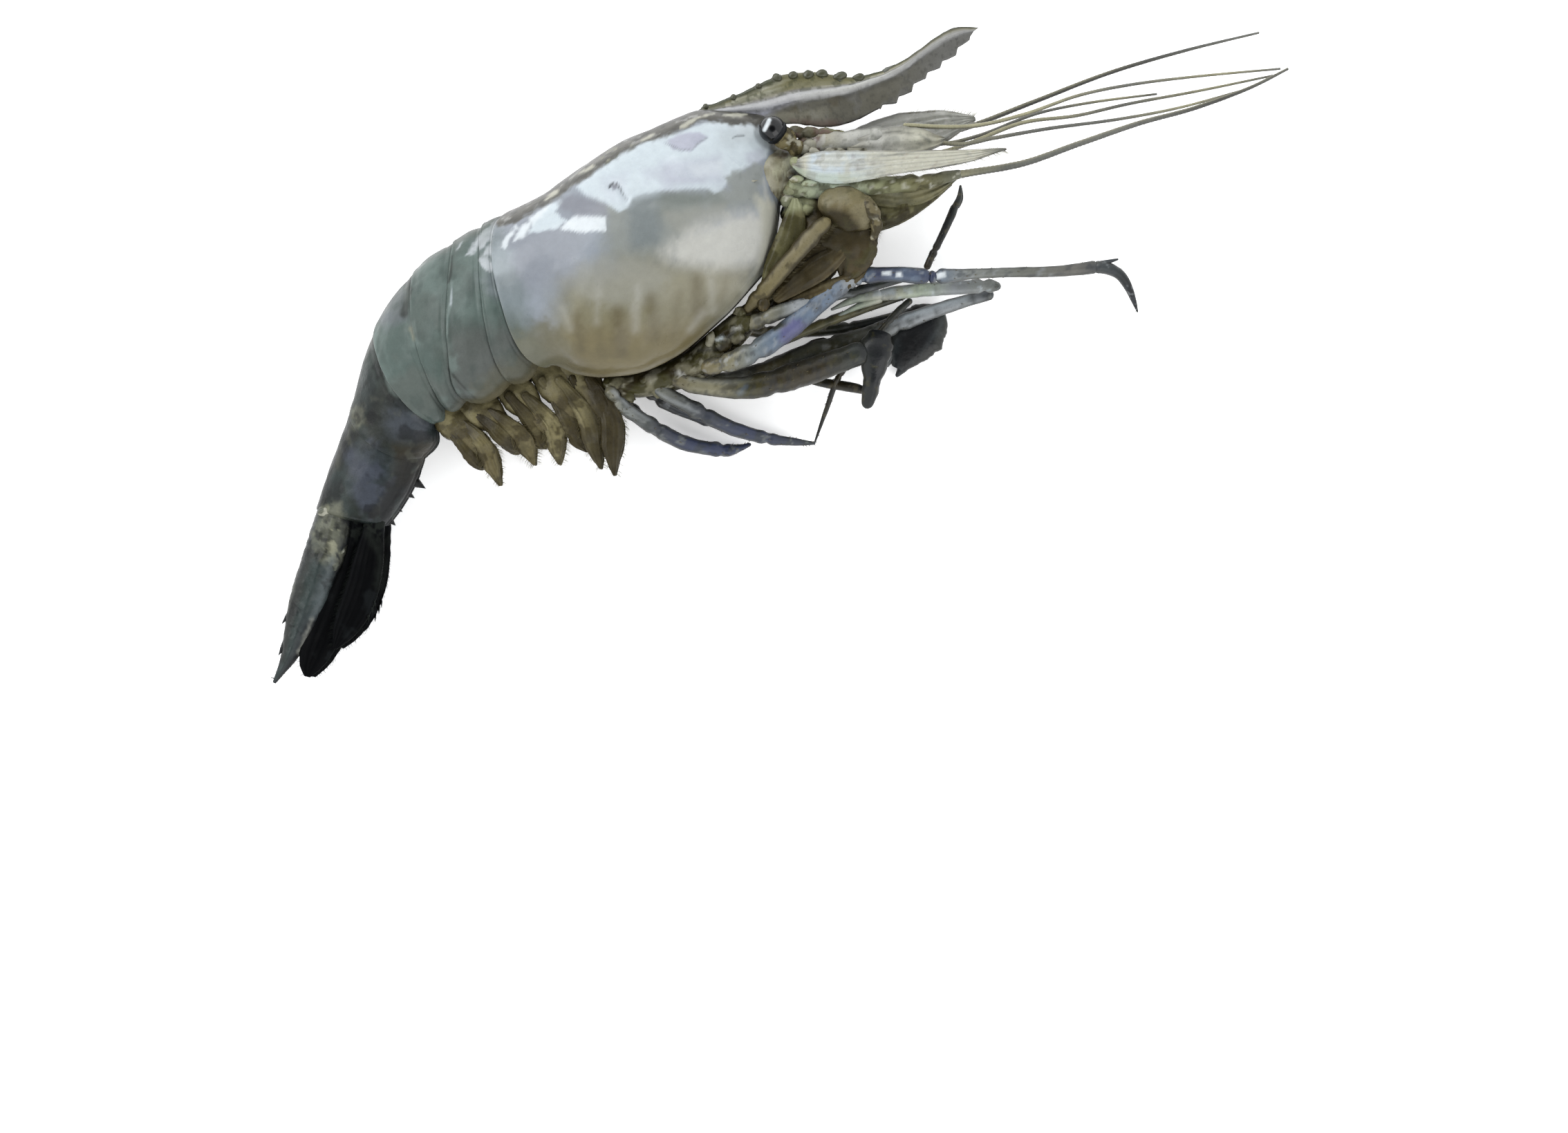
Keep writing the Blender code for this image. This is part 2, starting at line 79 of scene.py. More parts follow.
EDGES = {9: (9.0, 1.00, 0.42), 10: (10.0, 0.52, 0.55), 11: (11.0, 0.72, 0.68),
         12: (12.0, 0.50, 0.60), 13: (13.0, 0.46, 0.55), 14: (14.0, 0.22, 0.50),
         15: (15.0, 0.00, 0.50)}

# ------------------------------------------------------------------- palette
TINT = {
    "ice": (214, 225, 231), "ice_white": (232, 239, 243), "lavender": (188, 191, 205),
    "slate_lilac": (140, 143, 152), "steel": (155, 163, 172), "steel_dark": (118, 128, 132),
    "sage": (150, 155, 151), "sage_dark": (116, 124, 118), "beige": (206, 206, 199),
    "beige_warm": (178, 175, 156), "taupe": (138, 134, 110), "khaki": (124, 114, 80),
    "umber": (106, 97, 70), "rim_grey": (112, 110, 104), "rim_band": (86, 84, 76), "rim_pale": (166, 166, 162),
    "rim_dark": (56, 56, 51), "scar": (58, 64, 68), "teal": (104, 121, 115),
    "teal_pale": (142, 160, 154), "teal_dark": (84, 98, 93), "grey_low": (98, 99, 90),
    "char": (50, 55, 50), "ink": (22, 25, 28), "black": (9, 10, 12),
    "cream": (176, 176, 150), "cream_dim": (118, 120, 104), "slate": (84, 90, 98),
    "slate_violet": (82, 88, 100), "pine": (62, 74, 72), "gunmetal": (62, 68, 70),
    "bone": (206, 205, 188), "mint": (190, 203, 180), "pea": (160, 164, 128),
    "tan": (134, 126, 98), "olive": (118, 114, 80), "olive_dark": (72, 69, 40),
    "olive_yellow": (146, 141, 106), "cocoa": (78, 67, 42), "mud": (54, 47, 27),
    "rose": (120, 96, 92), "smoke": (166, 167, 158), "smoke_dark": (112, 114, 106),
    "leg_blue": (108, 124, 144), "leg_violet": (100, 102, 142), "leg_pale": (160, 165, 168),
    "leg_grey": (138, 142, 138), "leg_dark": (60, 64, 70), "leg_navy": (58, 66, 92),
    "straw": (178, 174, 140), "flag_grey": (120, 120, 112), "flag_dark": (74, 74, 68), "ring_grey": (112, 116, 112), "ring_khaki": (122, 118, 94),
    "crest": (168, 168, 148), "crest_dark": (66, 70, 46), "carina": (190, 191, 192),
    "blade": (99, 97, 86), "blade_tip": (112, 112, 110), "paddle": (106, 97, 66),
    "paddle_pale": (140, 132, 96), "paddle_dark": (58, 50, 26),
}
GAIN = 0.475


def linear(name):
    c = np.array(TINT[name] if isinstance(name, str) else name, float) / 255
    return np.where(c <= 0.04045, c / 12.92, ((c + 0.055) / 1.055) ** 2.4) * GAIN


# --------------------------------------------------------------- small maths
def smooth(x):
    x = np.clip(x, 0.0, 1.0)
    return x * x * (3 - 2 * x)


def bump(x, centre, width):
    return np.exp(-((x - centre) / width) ** 2)


def place(x, y, z):
    return np.stack(np.broadcast_arrays((np.asarray(x, float) - ORIGIN_X) * GRID,
                                        (ORIGIN_Y - np.asarray(y, float)) * GRID,
                                        np.asarray(z, float) * MM), -1)


def through(table, t):
    """Smooth curve through the table's rows, at parameters t."""
    table = np.asarray(table, float)
    n = len(table)
    t = np.clip(np.asarray(t, float), 0, n - 1)
    i = np.minimum(t.astype(int), n - 2)
    f = (t - i)[..., None]
    a, b = table[np.maximum(i - 1, 0)], table[i]
    c, d = table[i + 1], table[np.minimum(i + 2, n - 1)]
    return 0.5 * (2 * b + (c - a) * f + (2 * a - 5 * b + 4 * c - d) * f ** 2
                  + (3 * b - a - 3 * c + d) * f ** 3)


def hashed(ix, iy, iz, seed):
    h = (ix * 374761393 + iy * 668265263 + iz * 1440662683 + seed * 974634777) & 0xffffffff
    h = ((h ^ (h >> 13)) * 1274126177) & 0xffffffff
    h = ((h ^ (h >> 15)) * 2246822519) & 0xffffffff
    return ((h ^ (h >> 16)) & 0xffff) / 65535.0


def noise(co, size, octaves=3, seed=1):
    """Smooth noise from -1 to 1 over points in metres, size in mm."""
    co = np.asarray(co, float).reshape(-1, 3)
    total, weight, norm = np.zeros(len(co)), 1.0, 0.0
    q = co / (size * MM)
    for o in range(octaves):
        i = np.floor(q).astype(np.int64)
        f = q - i
        f = f * f * (3 - 2 * f)
        value = np.zeros(len(co))
        for dx in (0, 1):
            for dy in (0, 1):
                for dz in (0, 1):
                    w = (np.where(dx, f[:, 0], 1 - f[:, 0]) * np.where(dy, f[:, 1], 1 - f[:, 1])
                         * np.where(dz, f[:, 2], 1 - f[:, 2]))
                    value += w * hashed(i[:, 0] + dx, i[:, 1] + dy, i[:, 2] + dz, seed + 31 * o)
        total += weight * (2 * value - 1)
        norm += weight
        weight *= 0.5
        q = q * 2.03 + 17.3
    return total / norm * 1.6


def unit(v):
    return v / np.maximum(np.linalg.norm(v, axis=-1, keepdims=True), 1e-12)


# ------------------------------------------------------------ surface pieces
class Chunk:
    """Vertices, faces, and for each vertex how far along (0-1), where across
    (-1 to 1) and which kind it is."""

    def __init__(self, v, f, along=0.0, across=0.0, kind=0):
        self.v = np.asarray(v, float).reshape(-1, 3)
        self.f = f
        n = len(self.v)
        self.along = np.broadcast_to(np.asarray(along, float), (n,)).copy()
        self.across = np.broadcast_to(np.asarray(across, float), (n,)).copy()
        self.kind = np.full(n, kind)


def sheet_faces(rows, cols, closed=True):
    r = np.arange(rows - 1)[:, None]
    c = np.arange(cols if closed else cols - 1)[None, :]
    n = (c + 1) % cols
    quads = np.stack(np.broadcast_arrays(r * cols + c, r * cols + n, (r + 1) * cols + n, (r + 1) * cols + c), -1)
    return quads.reshape(-1, 4).tolist()


def closed_grid(p, along, across, kind=0):
    """Closed form through rings p[row, column], with a fan at each end."""
    rows, cols = p.shape[:2]
    f = sheet_faces(rows, cols)
    v = p.reshape(-1, 3)
    along = np.broadcast_to(along, (rows, cols)).reshape(-1)
    across = np.broadcast_to(across, (rows, cols)).reshape(-1)
    ends = np.array([p[0].mean(0), p[-1].mean(0)])
    v = np.vstack([v, ends])
    a, b = rows * cols, rows * cols + 1
    for i in range(cols):
        j = (i + 1) % cols
        f.append([i, a, j])
        f.append([(rows - 1) * cols + i, (rows - 1) * cols + j, b])
    along = np.append(along, [along[0], along[-1]])
    across = np.append(across, [0, 0])
    return Chunk(v, f, along, across, kind)


def grid_normals(p):
    du = np.gradient(p, axis=0)
    dv = np.roll(p, -1, 1) - np.roll(p, 1, 1)
    n = unit(np.cross(dv, du))
    centre = p.mean(1, keepdims=True)
    flip = np.sign(((p - centre) * n).sum(-1).mean())
    return n * (flip or 1.0)


def limb(points, joints=(), per_span=14, sides=18, flat=1.0, pinch=0.22, swell=0.16, rough=0.05,
         seed=1, kind=0, blunt=(True, True), ridge=0.0, beads=0.0, bead_mm=1.0):
    """Round or flattened limb through (x, y, height, radius) points; joints are
    the point numbers where it narrows between two swellings."""
    pts = np.asarray(points, float)
    t = np.linspace(0, len(pts) - 1, (len(pts) - 1) * per_span + 1)
    row = through(pts, t)
    co = place(row[:, 0], row[:, 1], row[:, 2])
    step = np.linalg.norm(np.diff(co, axis=0), axis=1)
    s = np.concatenate([[0], np.cumsum(step)]) / MM
    extra = []
    for e, r in ((0, pts[0, 3]), (1, pts[-1, 3])):
        if blunt[e]:
            extra += [(0 if e == 0 else s[-1]) + (1 if e == 0 else -1) * r * k for k in (0.04, 0.12, 0.25, 0.45, 0.7)]
    s2 = np.sort(np.concatenate([s, [x for x in extra if 0 < x < s[-1]]]))
    t = np.interp(s2, s, t)
    row = through(pts, t)
    co = place(row[:, 0], row[:, 1], row[:, 2])
    r = np.maximum(row[:, 3], 0.05)
    s = s2
    for j in joints:
        sj = np.interp(j, t, s)
        rj = np.interp(j, t, row[:, 3])
        d = (s - sj) / rj
        r = r * (1 - pinch * np.exp(-(d / 0.38) ** 2))
        r = r * (1 + swell * np.exp(-((d + 1.15) / 0.75) ** 2) + 0.6 * swell * np.exp(-((d - 1.0) / 0.7) ** 2))
    if blunt[0]:
        r = r * np.sqrt(1 - (1 - np.clip(s / r[0], 0.02, 1)) ** 2)
    if blunt[1]:
        r = r * np.sqrt(1 - (1 - np.clip((s[-1] - s) / max(pts[-1, 3], 0.05), 0.02, 1)) ** 2)
    if beads:
        r = r * (1 + beads * (np.abs(np.sin(math.pi * s / bead_mm)) - 0.6))
    d = unit(np.gradient(co, axis=0))
    side = unit(np.cross(d, np.array([0, 0, 1.0])))
    up = unit(np.cross(side, d))
    th = np.linspace(0, 2 * math.pi, sides, endpoint=False)
    c, sn = np.cos(th)[None, :, None], np.sin(th)[None, :, None]
    rr = (r * MM)[:, None, None]
    shape = 1 + ridge * np.maximum(0, np.cos(2 * (th - math.pi / 2)))[None, :, None] ** 6
    p = co[:, None, :] + side[:, None, :] * rr * c * shape + up[:, None, :] * rr * sn * flat * shape
    if rough:
        n = noise(p, 1.3, 3, seed).reshape(p.shape[:2])
        n += 0.5 * noise(p, 4.0, 2, seed + 5).reshape(p.shape[:2])
        p = co[:, None, :] + (p - co[:, None, :]) * (1 + rough * n)[..., None]
    p[..., 2] = np.maximum(p[..., 2], 0.00005)
    along = (s / s[-1])[:, None]
    ch = closed_grid(p, np.broadcast_to(along, p.shape[:2]), np.broadcast_to(np.cos(th)[None, :], p.shape[:2]), kind)
    ch.path = co
    ch.side, ch.up, ch.dirn, ch.r = side, up, d, r * MM
    return ch


def plate(points, per_span=24, sides=56, ribs=0, rib_mm=0.12, cup=0.0, keel=0.0, wave=0.0, seed=1, kind=0,
          lens=0.8, edge_noise=0.02, lean=0.0):
    """Thin plate through (x, y, height, half width, half thickness) points."""
    pts = np.asarray(points, float)
    t = np.linspace(0, len(pts) - 1, (len(pts) - 1) * per_span + 1)
    row = through(pts, t)
    co = place(row[:, 0], row[:, 1], row[:, 2])
    a, b = np.maximum(row[:, 3], 0.03), np.maximum(row[:, 4], 0.04)
    u = t / t[-1]
    a = a * (1 - np.clip(1 - u / 0.02, 0, 1) ** 2 * 0.6)
    d = unit(np.gradient(co, axis=0))
    side = unit(np.cross(d, np.array([0, 0, 1.0])))
    up = unit(np.cross(side, d))
    th = np.linspace(0, 2 * math.pi, sides, endpoint=False) + math.pi / sides
    c, sn = np.cos(th), np.sin(th)
    cc = np.sign(c) * np.abs(c) ** 0.85
    thick = np.sign(sn) * np.abs(sn) ** lens
    edge = 1 + edge_noise * noise(co * 1.0, 1.2, 2, seed)
    off = (a * edge)[:, None] * cc[None, :]
    high = b[:, None] * thick[None, :]
    top = (sn > 0)[None, :] * 1.0
    if ribs:
        high = high + top * rib_mm * np.cos(ribs * math.pi * cc)[None, :] * (1 - np.abs(cc) ** 6)[None, :] * np.minimum(1, u * 6)[:, None]
    high = high + keel * np.exp(-(cc / 0.12) ** 2)[None, :] * top * (1 - u * 0.7)[:, None]
    high = high - cup * (a[:, None] * cc[None, :] ** 2) + lean * a[:, None] * cc[None, :]
    if wave:
        p0 = co[:, None, :] + side[:, None, :] * off[..., None] * MM
        high = high + wave * noise(p0, 5.0, 2, seed + 3).reshape(off.shape)
    p = co[:, None, :] + side[:, None, :] * (off * MM)[..., None] + up[:, None, :] * (high * MM)[..., None]
    p[..., 2] = np.maximum(p[..., 2], 0.00005)
    ch = closed_grid(p, np.broadcast_to(u[:, None], p.shape[:2]), np.broadcast_to(cc[None, :], p.shape[:2]), kind)
    ch.path, ch.side, ch.up, ch.dirn, ch.a = co, side, up, d, a * MM
    return ch


def lump(x, y, z, rx, ry, rz, turn=0.0, seed=1, rough=0.08, kind=0, rows=22, cols=28, grain=1.4, power=1.0):
    """Uneven rounded knob; rx, ry, rz in mm."""
    lat = np.linspace(0, math.pi, rows)[:, None]
    lon = np.linspace(0, 2 * math.pi, cols, endpoint=False)[None, :]
    q = np.stack(np.broadcast_arrays(np.cos(lat), np.sin(lat) * np.cos(lon), np.sin(lat) * np.sin(lon)), -1)
    q = np.sign(q) * np.abs(q) ** power
    p = q * np.array([rx, ry, rz]) * MM
    ct, st = math.cos(math.radians(turn)), math.sin(math.radians(turn))
    p = np.stack([p[..., 0] * ct - p[..., 1] * st, p[..., 0] * st + p[..., 1] * ct, p[..., 2]], -1)
    base = place(x, y, z)
    n = noise(p + base, grain, 3, seed).reshape(p.shape[:2])
    p = p * (1 + rough * n)[..., None] + base
    p[..., 2] = np.maximum(p[..., 2], 0.00005)
    return closed_grid(p, np.broadcast_to(lat / math.pi, p.shape[:2]), np.broadcast_to(q[..., 1], p.shape[:2]), kind)


def spikes(base, tip, radius, kind=1, sides=5, bend=None):
    """Tapered hairs or spines from base points to tip points."""
    base, tip = np.atleast_2d(base), np.atleast_2d(tip)
    n = len(base)
    radius = np.broadcast_to(np.asarray(radius, float), (n,))
    d = unit(tip - base)
    ref = np.where(np.abs(d[:, 2:3]) > 0.9, np.array([[1.0, 0, 0]]), np.array([[0, 0, 1.0]]))
    s1 = unit(np.cross(d, ref))
    s2 = np.cross(s1, d)
    rings = []
    mids = (base + tip) / 2
    if bend is not None:
        mids = mids + bend
    for c, r in ((base, 1.0), (mids, 0.62)):
        for k in range(sides):
            t = 2 * math.pi * k / sides
            rings.append(c + (s1 * math.cos(t) + s2 * math.sin(t)) * (radius * r)[:, None])
    rings.append(tip)
    rings.append(base)
    v = np.stack(rings, 1)
    m = v.shape[1]
    v[..., 2] = np.maximum(v[..., 2], 0.00003)
    f = []
    for i in range(n):
        o = i * m
        for k in range(sides):
            j = (k + 1) % sides
            f.append([o + k, o + j, o + sides + j, o + sides + k])
            f.append([o + sides + k, o + sides + j, o + 2 * sides])
            f.append([o + j, o + k, o + 2 * sides + 1])
    along = np.tile(np.array([0.0] * sides + [0.5] * sides + [1.0, 0.0]), n)
    return Chunk(v.reshape(-1, 3), f, along, 0.0, kind)


def fringe(ch, margin, start, end, count, length, radius=0.035, lean=0.5, seed=1, kind=1, drop=0.0):
    """Row of setae along one margin (-1 or 1) of a plate or limb."""
    rng = np.random.RandomState(seed)
    t = np.sort(rng.uniform(start, end, count))
    i = t * (len(ch.path) - 1)
    width = ch.a if hasattr(ch, "a") else ch.r

    def read(arr):
        k = np.clip(i.astype(int), 0, len(arr) - 2)
        f = i - k
        f = f[:, None] if arr.ndim > 1 else f
        return arr[k] * (1 - f) + arr[k + 1] * f
    base = read(ch.path) + read(ch.side) * margin * (read(width) * 0.9)[:, None]
    size = length * MM * rng.uniform(0.6, 1.1, count)[:, None]
    way = unit(read(ch.side) * margin + read(ch.dirn) * lean + np.array([0, 0, 1]) * rng.uniform(-0.25, 0.2, count)[:, None])
    tip = base + way * size + np.array([0, 0, -1.0]) * drop * MM
    return spikes(base, tip, radius * MM, kind, 3, bend=read(ch.dirn) * size * -0.10)


# -------------------------------------------------------------------- colours
def outline_distance(x, y, outline):
    """Distance to a closed outline, negative inside."""
    pts = np.asarray(outline, float)
    best = np.full(x.shape, 1e18)
    sign = np.ones(x.shape)
    n = len(pts)
    for i in range(n):
        ax, ay = pts[i]
        bx, by = pts[i - 1]
        ex, ey = bx - ax, by - ay
        wx, wy = x - ax, y - ay
        t = np.clip((wx * ex + wy * ey) / (ex * ex + ey * ey + 1e-9), 0, 1)
        best = np.minimum(best, (wx - ex * t) ** 2 + (wy - ey * t) ** 2)
        c1, c2, c3 = y >= ay, y < by, ex * wy > ey * wx
        flip = (c1 & c2 & c3) | (~c1 & ~c2 & ~c3)
        sign = np.where(flip, -sign, sign)
    return sign * np.sqrt(best)


def line_distance(x, y, line):
    pts = np.asarray(line, float)
    best = np.full(x.shape, 1e18)
    where = np.zeros(x.shape)
    for i in range(len(pts) - 1):
        ax, ay = pts[i]
        ex, ey = pts[i + 1] - pts[i]
        t = np.clip(((x - ax) * ex + (y - ay) * ey) / (ex * ex + ey * ey + 1e-9), 0, 1)
        d = (x - ax - ex * t) ** 2 + (y - ay - ey * t) ** 2
        where = np.where(d < best, (i + t) / (len(pts) - 1), where)
        best = np.minimum(best, d)
    return np.sqrt(best), where


class Painter:
    """Lays tints over vertices in drawing-grid coordinates."""

    def __init__(self, co, along, across, kind, ground, seed=1):
        self.co, self.along, self.across, self.kind = co, along, across, kind
        self.x = co[:, 0] / GRID + ORIGIN_X
        self.y = ORIGIN_Y - co[:, 1] / GRID
        self.z = co[:, 2] / MM
        self.rgb = np.tile(linear(ground), (len(co), 1))
        self.broad = noise(co, 3.0, 3, seed)
        self.fine = noise(co, 0.8, 2, seed + 9)

    def lay(self, tint, mask):
        self.rgb += (linear(tint) - self.rgb) * np.clip(mask, 0, 1)[:, None]

    def patch(self, tint, outline, soft=8.0, wobble=4.0, strength=1.0, only=1.0):
        d = outline_distance(self.x, self.y, outline) + wobble * (self.broad + 0.5 * self.fine)
        self.lay(tint, strength * only * smooth(0.5 - d / (2 * soft)))

    def stroke(self, tint, line, width=4.0, soft=3.0, wobble=1.5, strength=1.0, taper=False, only=1.0):
        d, where = line_distance(self.x, self.y, line)
        w = width * (1 - where) if taper else width
        d = d + wobble * (self.broad + 0.6 * self.fine) - w / 2
        self.lay(tint, strength * only * smooth(0.5 - d / (2 * soft)))

    def ramp(self, stops, value=None, strength=1.0, only=1.0):
        value = self.along if value is None else value
        pos = [p for p, _ in stops]
        cols = np.array([linear(c) for _, c in stops])
        target = np.stack([np.interp(value, pos, cols[:, k]) for k in range(3)], -1)
        self.rgb += (target - self.rgb) * np.broadcast_to(np.clip(strength * only, 0, 1), self.x.shape)[:, None]

    def mottle(self, tint, size, level, strength=0.5, soft=0.25, seed=3, only=1.0):
        n = noise(self.co, size, 3, seed)
        self.lay(tint, strength * only * smooth((n - level) / soft))

    def shade(self, amount):
        self.rgb *= np.asarray(amount)[:, None] if np.ndim(amount) else amount


# ------------------------------------------------------------------ materials
def socket(node, names, value):
    for name in names:
        if name in node.inputs:
            node.inputs[name].default_value = value
            return


def wet_shell(name, rough=0.24, rough_var=0.10, coat=0.5, coat_rough=0.07, mottle=0.10, speck=0.12, speck_mm=0.7,
              grain_mm=0.45, grain=0.25, lump_mm=2.2, lumps=0.25, rings_mm=0.0, rings=0.0, subsurface=0.0, specular=0.5):
    """Wet crustacean shell: painted colour broken by mottling and specks, with
    fine grain, soft undulation and a glossy film of water."""
    mat = bpy.data.materials.new(name)
    mat.use_nodes = True
    nt = mat.node_tree
    bsdf = nt.nodes["Principled BSDF"]
    new, link = nt.nodes.new, nt.links.new
    paint = new("ShaderNodeAttribute")
    paint.attribute_name = "paint"
    coord = new("ShaderNodeTexCoord")

    cloud = new("ShaderNodeTexNoise")
    cloud.inputs["Scale"].default_value = 1 / (1.9 * MM)
    cloud.inputs["Detail"].default_value = 5
    cloud.inputs["Roughness"].default_value = 0.62
    link(coord.outputs["Object"], cloud.inputs["Vector"])
    tone = new("ShaderNodeMapRange")
    tone.inputs["From Min"].default_value = 0.3
    tone.inputs["From Max"].default_value = 0.7
    tone.inputs["To Min"].default_value = 1 - mottle
    tone.inputs["To Max"].default_value = 1 + mottle
    link(cloud.outputs[0], tone.inputs["Value"])

    dots = new("ShaderNodeTexVoronoi")
    dots.feature = "F1"
    dots.inputs["Scale"].default_value = 1 / (speck_mm * MM)
    dots.inputs["Randomness"].default_value = 1.0
    link(coord.outputs["Object"], dots.inputs["Vector"])
    dot = new("ShaderNodeMapRange")
    dot.interpolation_type = "SMOOTHSTEP"
    dot.inputs["From Min"].default_value = 0.10
    dot.inputs["From Max"].default_value = 0.34
    dot.inputs["To Min"].default_value = 1 - speck
    dot.inputs["To Max"].default_value = 1.0
    link(dots.outputs["Distance"], dot.inputs["Value"])
    both = new("ShaderNodeMath")
    both.operation = "MULTIPLY"
    link(tone.outputs[0], both.inputs[0])
    link(dot.outputs[0], both.inputs[1])
    scale = new("ShaderNodeVectorMath")
    scale.operation = "SCALE"
    link(paint.outputs["Color"], scale.inputs[0])
    link(both.outputs[0], scale.inputs["Scale"])
    link(scale.outputs[0], bsdf.inputs["Base Color"])

    gloss = new("ShaderNodeTexNoise")
    gloss.inputs["Scale"].default_value = 1 / (4.0 * MM)
    gloss.inputs["Detail"].default_value = 4
    link(coord.outputs["Object"], gloss.inputs["Vector"])
    glossy = new("ShaderNodeMapRange")
    glossy.inputs["From Min"].default_value = 0.3
    glossy.inputs["From Max"].default_value = 0.7
    glossy.inputs["To Min"].default_value = max(rough - rough_var, 0.03)
    glossy.inputs["To Max"].default_value = rough + rough_var
    link(gloss.outputs[0], glossy.inputs["Value"])
    link(glossy.outputs[0], bsdf.inputs["Roughness"])

    def relief(size_mm, strength, below=None, detail=3.0):
        tex = new("ShaderNodeTexNoise")
        tex.inputs["Scale"].default_value = 1 / (size_mm * MM)
        tex.inputs["Detail"].default_value = detail
        link(coord.outputs["Object"], tex.inputs["Vector"])
        b = new("ShaderNodeBump")
        b.inputs["Strength"].default_value = strength
        b.inputs["Distance"].default_value = size_mm * MM * 0.25
        link(tex.outputs[0], b.inputs["Height"])
        if below is not None:
            link(below.outputs["Normal"], b.inputs["Normal"])
        return b
    last = relief(lump_mm, lumps)
    last = relief(grain_mm, grain, last)
    if rings:
        uv = new("ShaderNodeUVMap")
        uv.uv_map = "Param"
        wave = new("ShaderNodeTexWave")
        wave.wave_type = "BANDS"
        wave.bands_direction = "X"
        wave.inputs["Scale"].default_value = 1.0 / rings_mm
        wave.inputs["Distortion"].default_value = 0.6
        link(uv.outputs[0], wave.inputs["Vector"])
        b = new("ShaderNodeBump")
        b.inputs["Strength"].default_value = rings
        b.inputs["Distance"].default_value = 0.00012
        link(wave.outputs[0], b.inputs["Height"])
        link(last.outputs["Normal"], b.inputs["Normal"])
        last = b
    link(last.outputs["Normal"], bsdf.inputs["Normal"])

    socket(bsdf, ("Coat Weight",), 0.85 * coat)
    socket(bsdf, ("Coat Roughness",), coat_rough)
    socket(bsdf, ("Specular IOR Level",), 0.85 * specular)
    if subsurface:
        socket(bsdf, ("Subsurface Weight",), subsurface)
        socket(bsdf, ("Subsurface Radius",), (0.8, 0.75, 0.6))
        socket(bsdf, ("Subsurface Scale",), 0.0015)
    return mat


SHELL = wet_shell("wet_shell", rough=0.36, coat=0.12, coat_rough=0.10, mottle=0.05, speck=0.03, grain=0.10, lumps=0.16, subsurface=0.12, specular=0.25)
RINGM = wet_shell("wet_ring_shell", rough=0.38, coat=0.07, coat_rough=0.12, mottle=0.08, speck=0.05, grain=0.12, lumps=0.2, subsurface=0.05, specular=0.15)
TAILM = wet_shell("wet_tail_shell", rough=0.40, coat=0.07, coat_rough=0.16, mottle=0.16, speck=0.15, grain=0.30, lumps=0.35, specular=0.14)
FANM = wet_shell("tail_fan", rough=0.50, coat=0.0, coat_rough=0.25, mottle=0.14, speck=0.1, grain=0.25, lumps=0.2, specular=0.03)
SCALEM = wet_shell("antennal_plate", rough=0.30, coat=0.3, coat_rough=0.12, mottle=0.08, speck=0.08, grain=0.25, lumps=0.3, subsurface=0.3)
HEADM = wet_shell("head_limbs", rough=0.42, coat=0.08, coat_rough=0.2, mottle=0.14, speck=0.15, grain=0.35, lumps=0.45, subsurface=0.05, specular=0.12)
LEGM = wet_shell("walking_legs", rough=0.38, coat=0.12, coat_rough=0.16, mottle=0.12, speck=0.12, speck_mm=0.5, grain=0.35, lumps=0.4, specular=0.25)
WHISKM = wet_shell("flagella", rough=0.40, coat=0.1, mottle=0.15, speck=0.1, grain=0.2, lumps=0.1, rings_mm=1.0, rings=0.6, specular=0.3)
PADM = wet_shell("swimmerets", rough=0.42, coat=0.06, coat_rough=0.2, mottle=0.18, speck=0.2, grain=0.45, lumps=0.5, subsurface=0.08, specular=0.15)
BLADEM = wet_shell("rostrum", rough=0.38, coat=0.18, coat_rough=0.15, mottle=0.10, speck=0.12, grain=0.4, lumps=0.3, specular=0.35)
EYEM = wet_shell("cornea", rough=0.12, rough_var=0.03, coat=0.25, coat_rough=0.03, specular=0.3, mottle=0.2, speck=0.3, speck_mm=0.16,
                 grain_mm=0.16, grain=0.08, lumps=0.02)


# ------------------------------------------------------------- making a piece
def make(name, chunks, mats, nodes, ground, painter=None, seed=1):
    """One named piece from chunks; mats is a material, or a list indexed by
    chunk.slot."""
    mats = mats if isinstance(mats, list) else [mats]
    v = np.vstack([c.v for c in chunks])
    along = np.concatenate([c.along for c in chunks])
    across = np.concatenate([c.across for c in chunks])
    kind = np.concatenate([c.kind for c in chunks])
    faces, which, base = [], [], 0
    for c in chunks:
        faces += [[i + base for i in face] for face in c.f]
        which += [getattr(c, "slot", 0)] * len(c.f)
        base += len(c.v)
    mesh = bpy.data.meshes.new(name)
    mesh.from_pydata(v.tolist(), [], faces)
    for m in mats:
        mesh.materials.append(m)
    mesh.polygons.foreach_set("material_index", which)
    bm = bmesh.new()
    bm.from_mesh(mesh)
    bmesh.ops.recalc_face_normals(bm, faces=bm.faces)
    bm.to_mesh(mesh)
    bm.free()
    mesh.shade_smooth()
    p = Painter(v, along, across, kind, ground, seed)
    if painter:
        painter(p)
    colour = mesh.attributes.new("paint", "FLOAT_COLOR", "POINT")
    colour.data.foreach_set("color", np.hstack([np.clip(p.rgb, 0, 1), np.ones((len(v), 1))]).ravel())
    uv = mesh.uv_layers.new(name="Param")
    loops = np.empty(len(mesh.loops), np.int64)
    mesh.loops.foreach_get("vertex_index", loops)
    uv.data.foreach_set("uv", np.stack([along[loops] * 100, across[loops]], -1).ravel())
    ob = bpy.data.objects.new(name, mesh)
    bpy.context.scene.collection.objects.link(ob)
    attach(ob, "root")
    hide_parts(*nodes)
    return ob


